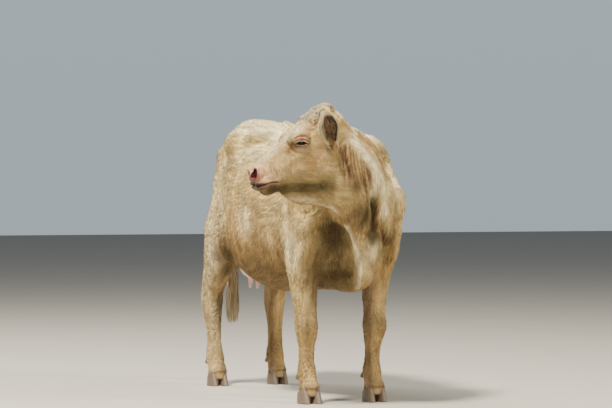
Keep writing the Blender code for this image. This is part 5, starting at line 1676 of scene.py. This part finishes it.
def earFringe(sign):  # long pale hairs along the edges and out of the cup
    place = earPlace(sign)
    turn = place.to_3x3()
    draw = np.random.default_rng(50 + sign)
    blades = []

    def edgeOut(t, v, edge):  # the way out of the ear's edge
        angle = v * earForm(t)[1] / 2
        return Vector((math.cos(angle) * edge, math.sin(angle) * edge, 0))

    def toned(colour, tone):
        return tuple(c * tone for c in colour)

    for edge in (-1, 1):
        for _ in range(260):
            t = draw.uniform(0.02, 0.97)
            v = edge * draw.uniform(0.86, 0.99)
            root = place @ earPoint(t, v, draw.uniform() < 0.5)
            out = edgeOut(t, v, edge) * (0.55 + 0.4 * draw.uniform())
            onward = turn @ (out + Vector((0, 0, 0.75)))
            inward = Vector((-edge * 0.35, 0.25, 0.5))
            fall = turn @ (out * 0.35 + inward + Vector((0, 0, draw.uniform(-0.2, 0.5))))
            colour = toned(coatLook["pale"], draw.uniform(0.85, 1.05))
            length = draw.uniform(0.018, 0.034) * (1.25 if edge == 1 else 0.8)
            blades.append((root, onward, fall, length, 0.0019, (0.25 * (1 + edge * 0.9), t), colour))
    for _ in range(190):  # the thick pale band on the front edge, and its curl at the ear's root
        t = draw.uniform(0.02, 0.92)
        v = sign * draw.uniform(0.8, 0.98)
        root = place @ earPoint(t, v, False)
        out = edgeOut(t, v, sign)
        low = max(0.0, 1 - t / 0.16)
        onward = turn @ (out * 0.7 + Vector((0, 0, 0.75 - 1.3 * low)))
        fall = turn @ (out * 0.25 + Vector((-0.45 * sign * (1 + low), 0.35, 0.7 - 1.3 * low)))
        tone = draw.uniform(0.8, 1.02)
        colour = toned(coatLook["bright" if draw.uniform() < 0.7 else "tan"], tone)
        spot = (0.25 * (1 + 0.9 * sign), t)
        blades.append((root, onward, fall, draw.uniform(0.022, 0.034), 0.0042, spot, colour))
    for _ in range(240):  # soft hair that lies in the cup
        t, v = draw.uniform(0.02, 0.6), draw.uniform(-0.8, 0.8)
        root = place @ earPoint(t, v, True)
        onward = turn @ Vector((-0.5 * v + draw.uniform(-0.2, 0.2), 0.45, 0.8))
        fall = turn @ Vector((-0.2 * v + draw.uniform(-0.2, 0.2), 0.1, 1.0))
        colour = coatLook["shadeHair" if draw.uniform() < 0.75 else "cream"]
        blades.append((root, onward, fall, draw.uniform(0.022, 0.04), 0.0011, (0.5 + 0.2 * v, t), colour))
    return blades


# Eyes and lids

eyeLook = {
    "white": (0.46, 0.3, 0.22), "edge": (0.012, 0.007, 0.006), "iris": (0.026, 0.012, 0.007),
    "pupil": (0.003, 0.003, 0.005), "irisHalf": (0.0175, 0.0165), "pupilHalf": (0.0095, 0.005),
    "lid": (0.05, 0.024, 0.02), "lash": (0.5, 0.38, 0.22), "corner": (0.2, 0.075, 0.06),
    "lashes": 34, "cornea": 0.0012,
}


def eyeAxes(sign):  # x across, y up, z out
    _, axes = eyeLocal(np.zeros((1, 3)), sign)
    turn = Matrix(axes.tolist()).transposed()
    return headFrame @ Matrix.Translation(mirrored(eye["centre"], sign)) @ turn.to_4x4()


def eyeMesh(sign):
    place = eyeAxes(sign)
    rings = []
    for step in range(1, 41):
        angle = math.radians(102) * step / 40
        radius = eye["radius"] + eyeLook["cornea"] * math.exp(-((angle / 0.6) ** 4))
        wide, high = radius * math.sin(angle), radius * math.cos(angle)
        turns = [2 * math.pi * k / 72 for k in range(72)]
        rings.append([place @ Vector((wide * math.cos(a), wide * math.sin(a), high)) for a in turns])
    mesh = loftMesh(rings, "eye")
    # the pole belongs on the cornea, not in the first ring's plane
    pole = place @ Vector((0, 0, eye["radius"] + eyeLook["cornea"]))
    min(mesh.vertices, key=lambda v: (v.co - pole).length).co = pole
    mesh.shade_smooth()
    local, _ = eyeLocal(pointsOf(mesh), sign)
    iris = np.hypot(local[:, 0] / eyeLook["irisHalf"][0], local[:, 1] / eyeLook["irisHalf"][1])
    pupil = np.hypot(local[:, 0] / eyeLook["pupilHalf"][0], local[:, 1] / eyeLook["pupilHalf"][1])
    colours = plain(eyeLook["white"], len(local))
    rounds = (("edge", iris, 1.0, 1.16), ("iris", iris, 0.78, 0.96), ("pupil", pupil, 0.92, 1.08))
    for name, gap, low, high in rounds:
        colours += (1 - fade(gap, low, high))[:, None] * (np.array(eyeLook[name]) - colours)
    tinted(mesh, colours)
    return mesh


def lidPoint(angle, rise=0.0, beyond=0.0):
    p = eye["halfLength"] * math.cos(angle)
    way = 1 if math.sin(angle) >= 0 else -1
    q = float(lidLine(p, way)) * way
    p, q = p * (1 + beyond / eye["halfLength"]), q + beyond * math.sin(angle)
    ball = math.sqrt(max(eye["radius"] ** 2 - p * p - q * q, 0))
    return Vector((p, q, max(ball + 0.0006, float(lidHeight(p, q)) - 0.0034) + rise))


def lidRim(sign):  # the thick bare edge of both lids, one closed ring
    place = eyeAxes(sign)
    count, sides = 96, 10
    verts, faces = [], []
    for step in range(count):
        angle = 2 * math.pi * step / count
        point = lidPoint(angle, 0.0016, 0.0006)
        onward = (lidPoint(angle + 0.04, 0.0016) - lidPoint(angle - 0.04, 0.0016)).normalized()
        out = Vector((0.3 * point.x, 0.5 * point.y, point.z)).normalized()
        side = onward.cross(out).normalized()
        thick = 0.0021 + 0.0006 * max(0.0, math.sin(angle))
        for k in range(sides):
            turn = 2 * math.pi * k / sides
            bulge = side * thick * math.cos(turn) + out * 1.15 * thick * math.sin(turn)
            verts.append(tuple(place @ (point + bulge)))
            here, after = sides * step, sides * ((step + 1) % count)
            j = (k + 1) % sides
            faces.append((here + k, here + j, after + j, after + k))
    mesh = meshFrom("lidRim", verts, faces)
    tinted(mesh, plain(eyeLook["lid"], len(verts)))
    return mesh


def lashBlades(sign):
    place = eyeAxes(sign)
    turn = place.to_3x3()
    draw = np.random.default_rng(70 + sign)
    upper, lower = eyeLook["lashes"], eyeLook["lashes"] // 2
    blades = []
    for i in range(upper):
        angle = math.pi * (0.1 + 0.8 * i / (upper - 1)) + draw.uniform(-0.02, 0.02)
        root = place @ lidPoint(angle, 0.0032, 0.0012)
        lean = math.cos(angle) * 0.8
        onward, fall = turn @ Vector((lean, 0.25, 1.0)), turn @ Vector((lean * 1.1, -0.55, 0.55))
        blades.append((root, onward, fall, draw.uniform(0.013, 0.019), 0.0011, (0.5, 0.5), eyeLook["lash"]))
    for i in range(lower):
        angle = -math.pi * (0.2 + 0.6 * i / (lower - 1))
        root = place @ lidPoint(angle, 0.003, 0.001)
        lean = math.cos(angle)
        onward, fall = turn @ Vector((lean * 0.5, -0.2, 1.0)), turn @ Vector((lean * 0.6, -0.8, 0.4))
        blades.append((root, onward, fall, draw.uniform(0.006, 0.01), 0.0009, (0.5, 0.5), eyeLook["lash"]))
    return blades


def cornerFlesh(sign):  # the small pink swelling in the front corner
    place = eyeAxes(sign) @ Matrix.Translation((0.0205, -0.0008, 0.0125))
    mesh = ballMesh((0, 0, 0), (0.0055, 0.0034, 0.005), place, 3)
    mesh.shade_smooth()
    tinted(mesh, plain(eyeLook["corner"], len(mesh.vertices)))
    return mesh


# The tassel of the tail and the short tuft between the ears

switch = {
    "top": 0.7, "bottom": 0.33, "rows": 9, "perRow": 26,
    "light": (0.68, 0.54, 0.32), "dark": (0.33, 0.235, 0.125),
    "core": ((0.0, 0.011), (0.1, 0.02), (0.3, 0.026), (0.55, 0.022), (0.8, 0.009)),
}


def switchMesh():
    top = Vector((-0.03, 0.876, switch["top"] + 0.01))
    end = Vector((-0.034, 0.876, switch["bottom"]))
    draw = np.random.default_rng(11)
    blades = []
    for row in range(switch["rows"]):
        height = 0.62 * row / (switch["rows"] - 1)
        radius = float(np.interp(height, *zip(*switch["core"]))) * 0.9
        for i in range(switch["perRow"]):
            angle = 2 * math.pi * (i + 0.5 * (row % 2)) / switch["perRow"] + draw.uniform(-0.12, 0.12)
            out = Vector((math.cos(angle), math.sin(angle), 0))
            root = top.lerp(end, height) + out * radius * draw.uniform(0.55, 0.95)
            reach = (switch["top"] - switch["bottom"]) * min(0.5, 1.0 - height) * draw.uniform(0.8, 1.0)
            stray = Vector((draw.uniform(-0.05, 0.05), draw.uniform(-0.05, 0.05), 0))
            fall = Vector((0, 0, -1)) - out * 0.12 + stray
            onward = out * 0.34 + Vector((draw.uniform(-0.08, 0.08), draw.uniform(-0.08, 0.08), -1))
            t = draw.uniform(0, 1) * (0.4 + 0.6 * height)
            colour = tuple(a * (1 - t) + b * t for a, b in zip(switch["light"], switch["dark"]))
            spot = (0.05 + 0.9 * angle / 6.6, 0.05 + 0.9 * height)
            blades.append((root, onward, fall, reach, 0.0085, spot, colour))
    rings = [roundRing(top.lerp(end, t), leftward, backward, radius, 20) for t, radius in switch["core"]]
    core = loftMesh(rings, "switchCore")
    core.shade_smooth()
    tinted(core, plain(switch["dark"], len(core.vertices)))
    return bladesMesh("tailSwitch", blades, 7), core


pollTuft = {
    "rows": 14, "perRow": 27, "length": 0.06, "width": 0.0046,
    "tones": ((0.35, "pale"), (0.7, "cream"), (0.86, "tan"), (1.01, "shadeHair")),
}


def pollBlades(tree):
    draw = np.random.default_rng(5)
    turn = headFrame.to_3x3()
    middle = (pollTuft["perRow"] - 1) / 2
    blades = []
    for row in range(pollTuft["rows"]):
        for i in range(pollTuft["perRow"]):
            spread = (i - middle) / middle + 0.06 * (row % 2) + draw.uniform(-0.04, 0.04)
            spot = Vector((-0.04 + 0.0082 * row, 0.07 * spread, 0.012 - 0.026 * spread * spread))
            place, normal, _, _ = tree.find_nearest(headFrame @ spot)
            onward = turn @ Vector((0.55, 0.45 * spread, 0.0)) + normal * (0.55 + 0.045 * row)
            fall = turn @ Vector((0.9, 0.55 * spread + draw.uniform(-0.25, 0.25), -0.15)) - normal * 0.1
            tone = draw.uniform(0, 1)
            colour = coatLook[next(name for limit, name in pollTuft["tones"] if tone < limit)]
            length, width = pollTuft["length"] * draw.uniform(0.65, 1.0), pollTuft["width"]
            patch = (0.5 + 0.4 * spread, 0.1 + 0.09 * row)
            blades.append((place - normal * 0.002, onward, fall, length, width, patch, colour))
    return blades


# Hooves and udder

clawLevels = (0.0, 0.03, 0.09, 0.2, 0.34, 0.48, 0.62, 0.76, 0.88, 0.96, 1.0)
dewclawRings = (
    (-0.35, 0.012), (0.0, 0.0135), (0.3, 0.0132), (0.55, 0.0122), (0.72, 0.0105), (0.86, 0.008),
    (0.96, 0.0048), (1.0, 0.002),
)
udder = {
    "bags": {
        "halves": (0.055, 0.48, 0.665, 0.075, 0.125, 0.075), "front": (0.0, 0.545, 0.7, 0.085, 0.09, 0.09),
    },
    "teatRings": ((0.0, 0.017), (0.4, 0.0135), (0.8, 0.0115), (0.95, 0.0095), (1.0, 0.006)),
}


def clawMesh(foot, size, sign, inner):
    out = -sign if inner else sign
    middle = sign * foot[0] + out * (size["width"] + size["slit"]) / 2
    rings = []
    for level in clawLevels:
        ring = []
        for step in range(48):
            angle = 2 * math.pi * step / 48
            front = math.sin(angle)
            width = size["width"] / 2 * (1 - 0.3 * max(front, 0) ** 2)
            width *= 1.0 if math.cos(angle) > 0 else 0.92
            rise = level * (size["heel"] + (size["toe"] - size["heel"]) * (0.5 + 0.5 * front))
            belly = 1 - 0.1 * level - 0.035 * math.exp(-((level / 0.035) ** 2))
            belly -= 0.01 * float(fade(level, 0.93, 1.0))
            belly += 0.006 * math.sin(level * 26) * (level < 0.95)
            ring.append(Vector((
                middle + width * squared(math.cos(angle) * out, 2.6) * belly,
                foot[1] - size["length"] / 2 * front * belly + 0.03 * level * (0.5 + 0.5 * front),
                soleLevel + rise,
            )))
        rings.append(ring)
    mesh = loftMesh(rings, "claw")
    mesh.shade_smooth()
    mesh.set_sharp_from_angle(angle=math.radians(55))
    return mesh


def dewclawMesh(foot, sign, inner):
    out = -sign if inner else sign
    root = Vector((sign * foot[0] + out * 0.024, foot[1] + 0.07, soleLevel + 0.135))
    tip = root + Vector((out * 0.006, 0.03, -0.022))
    axis = (tip - root).normalized()
    across = axis.cross(upward).normalized()
    up = across.cross(axis)
    rings = [roundRing(root.lerp(tip, t), across, up, radius, 24) for t, radius in dewclawRings]
    mesh = loftMesh(rings, "dewclaw")
    mesh.shade_smooth()
    return mesh


def udderMesh():
    meshes = massMeshes(udder["bags"])
    for x in (0.058, -0.058):
        for y in (0.425, 0.53):
            root, fall = Vector((x, y, 0.62)), Vector((0.1 * x, 0, -0.075))
            meshes.append(loftMesh([
                roundRing(root + fall * t, leftward, backward, radius, 20) for t, radius in udder["teatRings"]
            ]))
    mesh = melted(meshes, 0.0042, 6, "udder")
    points, normals = pointsOf(mesh), normalsOf(mesh)
    setPoints(mesh, points - normals * (0.0012 + 0.0008 * wander(points, 90.0, 61))[:, None])
    mesh.shade_smooth()
    colours = plain(finishes["udder"], len(points))
    low = 0.9 * fade(-points[:, 2], -0.62, -0.56)
    colours += low[:, None] * (np.array(finishes["teats"]) - colours)
    tinted(mesh, colours)
    return mesh


# Putting it together

skinMesh.shade_smooth()
skinTree = BVHTree.FromPolygons(pointsOf(skinMesh).tolist(), [tuple(p.vertices) for p in skinMesh.polygons])
tuftTree = coatTree()
shortTuft = tuftObject()
for part, name in enumerate(coatPieces):
    layCoat(skinMesh, name, part, coat[name])
print("coat laid")

fleshKinds = ("torso", "neck", "head", "foreleg", "forecannon", "hindleg", "hindcannon", "ear", "tail")
fleshNodes = [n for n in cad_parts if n.split("_")[0] in fleshKinds and n != "tail_switch"]
placed(newObject("skin", skinMesh), skinFinish, fleshNodes)

sides = ((1, "left"), (-1, "right"))
fringe, lashes = [], []
for sign, side in sides:
    mesh = earSkin(sign)
    layCoat(mesh, "earCoat" + side.title(), 0, coat["ears"], 0.14, 0.16)
    placed(newObject("ear" + side.title(), mesh), skinFinish)
    fringe += earFringe(sign)
placed(newObject("earFringe", bladesMesh("earFringe", fringe)), lockFinish)
print("ears done")

for sign, side in sides:
    placed(newObject("eye" + side.title(), eyeMesh(sign)), wetFinish, ["eye_" + side])
    placed(newObject("lidRim" + side.title(), lidRim(sign)), lidFinish)
    placed(newObject("eyeCorner" + side.title(), cornerFlesh(sign)), lidFinish)
    lashes += lashBlades(sign)
placed(newObject("lashes", bladesMesh("lashes", lashes, 5, 0.8)), lockFinish)
print("eyes done")

locks, core = switchMesh()
placed(newObject("tailSwitch", locks), lockFinish, ["tail_switch"])
placed(newObject("switchCore", core), lockFinish)
placed(newObject("pollTuft", bladesMesh("pollTuft", pollBlades(skinTree), 6)), lockFinish)
print("locks done")

for which, foot, size in (("fore", foreFoot, foreClaw), ("hind", hindFoot, hindClaw)):
    for sign, side in sides:
        for inner, where in ((False, "outer"), (True, "inner")):
            label = (which + side + where).title()
            node = f"{which}_{side}_{where}"
            claw, dewclaw = clawMesh(foot, size, sign, inner), dewclawMesh(foot, sign, inner)
            placed(newObject("claw" + label, claw), horn, ["claw_" + node])
            placed(newObject("dewclaw" + label, dewclaw), horn, ["dewclaw_" + node])
placed(newObject("udder", udderMesh()), udderFinish, ["udder"])
removeObject(shortTuft)
print("hooves and udder done")


# Camera, light and floor

view = {
    "azimuth": -22.0, "distance": 14.0, "perMetre": 200.0, "eyeHeight": 1.07,
    "middle": 300.0, "horizon": 180.6,
    "imageWide": 612, "imageHigh": 408,
}
lamps = {
    # where, size, power, colour
    "key": ((-4.8, -3.3, 9.2), 1.8, 3000, (1.0, 0.93, 0.79)),
    "fill": ((3.0, -10.0, 1.6), 6.0, 90, (1.0, 0.88, 0.68)),
    "top": ((-2.0, 5.0, 7.0), 4.0, 520, (1.0, 0.97, 0.9)),
    "side": ((5.5, -6.5, 6.0), 1.6, 780, (1.0, 0.92, 0.76)),
}
skyBand = (
    # share of the height, colour
    (0.0, (0.1, 0.095, 0.085, 1)), (0.46, (0.4, 0.46, 0.49, 1)), (0.57, (0.44, 0.53, 0.58, 1)),
    (0.72, (0.15, 0.17, 0.19, 1)),
)


def aimed(name, data, where, way):
    thing = newObject(name, data)
    thing.location = where
    thing.rotation_mode = "QUATERNION"
    thing.rotation_quaternion = way.to_track_quat("-Z", "Y")
    return thing


def studio():
    azimuth = math.radians(view["azimuth"])
    back = Vector((math.sin(azimuth), -math.cos(azimuth), 0))
    lens = bpy.data.cameras.new("camera")
    lens.sensor_width = 36
    lens.lens = view["perMetre"] * view["distance"] / view["imageWide"] * lens.sensor_width
    lens.shift_x = (view["imageWide"] / 2 - view["middle"]) / view["imageWide"]
    lens.shift_y = -(view["imageHigh"] / 2 - view["horizon"]) / view["imageWide"]
    lens.clip_end = 200
    eyePoint = Vector((shift.x, shift.y, view["eyeHeight"])) + back * view["distance"]
    bpy.context.scene.camera = aimed("camera", lens, eyePoint, -back)
    for name, (where, size, power, colour) in lamps.items():
        lamp = bpy.data.lights.new(name, "AREA")
        lamp.shape, lamp.size, lamp.energy, lamp.color = "DISK", size, power, colour
        aimed(name, lamp, where, Vector((0, 0, 0.8)) - Vector(where))

    world = bpy.data.worlds.new("studio")
    bpy.context.scene.world = world
    world.use_nodes = True
    g = Graph(world.node_tree)
    height = g.add("ShaderNodeSeparateXYZ", {}, {0: g.add("ShaderNodeTexCoord", out=0)}, 2)
    band = g.add("ShaderNodeValToRGB", {}, {0: 0.5 * height + 0.5})
    ramp = band.socket.node.color_ramp.elements
    for i, (place, colour) in enumerate(skyBand):
        stop = ramp[i] if i < 2 else ramp.new(place)
        stop.position, stop.color = place, colour
    world.node_tree.links.new(band.socket, world.node_tree.nodes["Background"].inputs[0])

    shape = bmesh.new()
    bmesh.ops.create_grid(shape, x_segments=2, y_segments=2, size=40)
    floor = newObject("floor", finishMesh(shape, "floor"))
    made, g, shader = newFinish("floorPale")
    where = g.where()
    far = g.add("ShaderNodeMapRange", {}, {0: g.vector("LENGTH", where), 1: 3.0, 2: 16.0})
    near = g.blend(g.noise(where, 1.5, 3.0), (0.46, 0.43, 0.38, 1), (0.51, 0.48, 0.42, 1))
    feed(g, shader, base=g.blend(far, near, (0.92, 0.93, 0.93, 1)), rough=0.8)
    floor.data.materials.append(made)


studio()
bpy.context.view_layer.update()
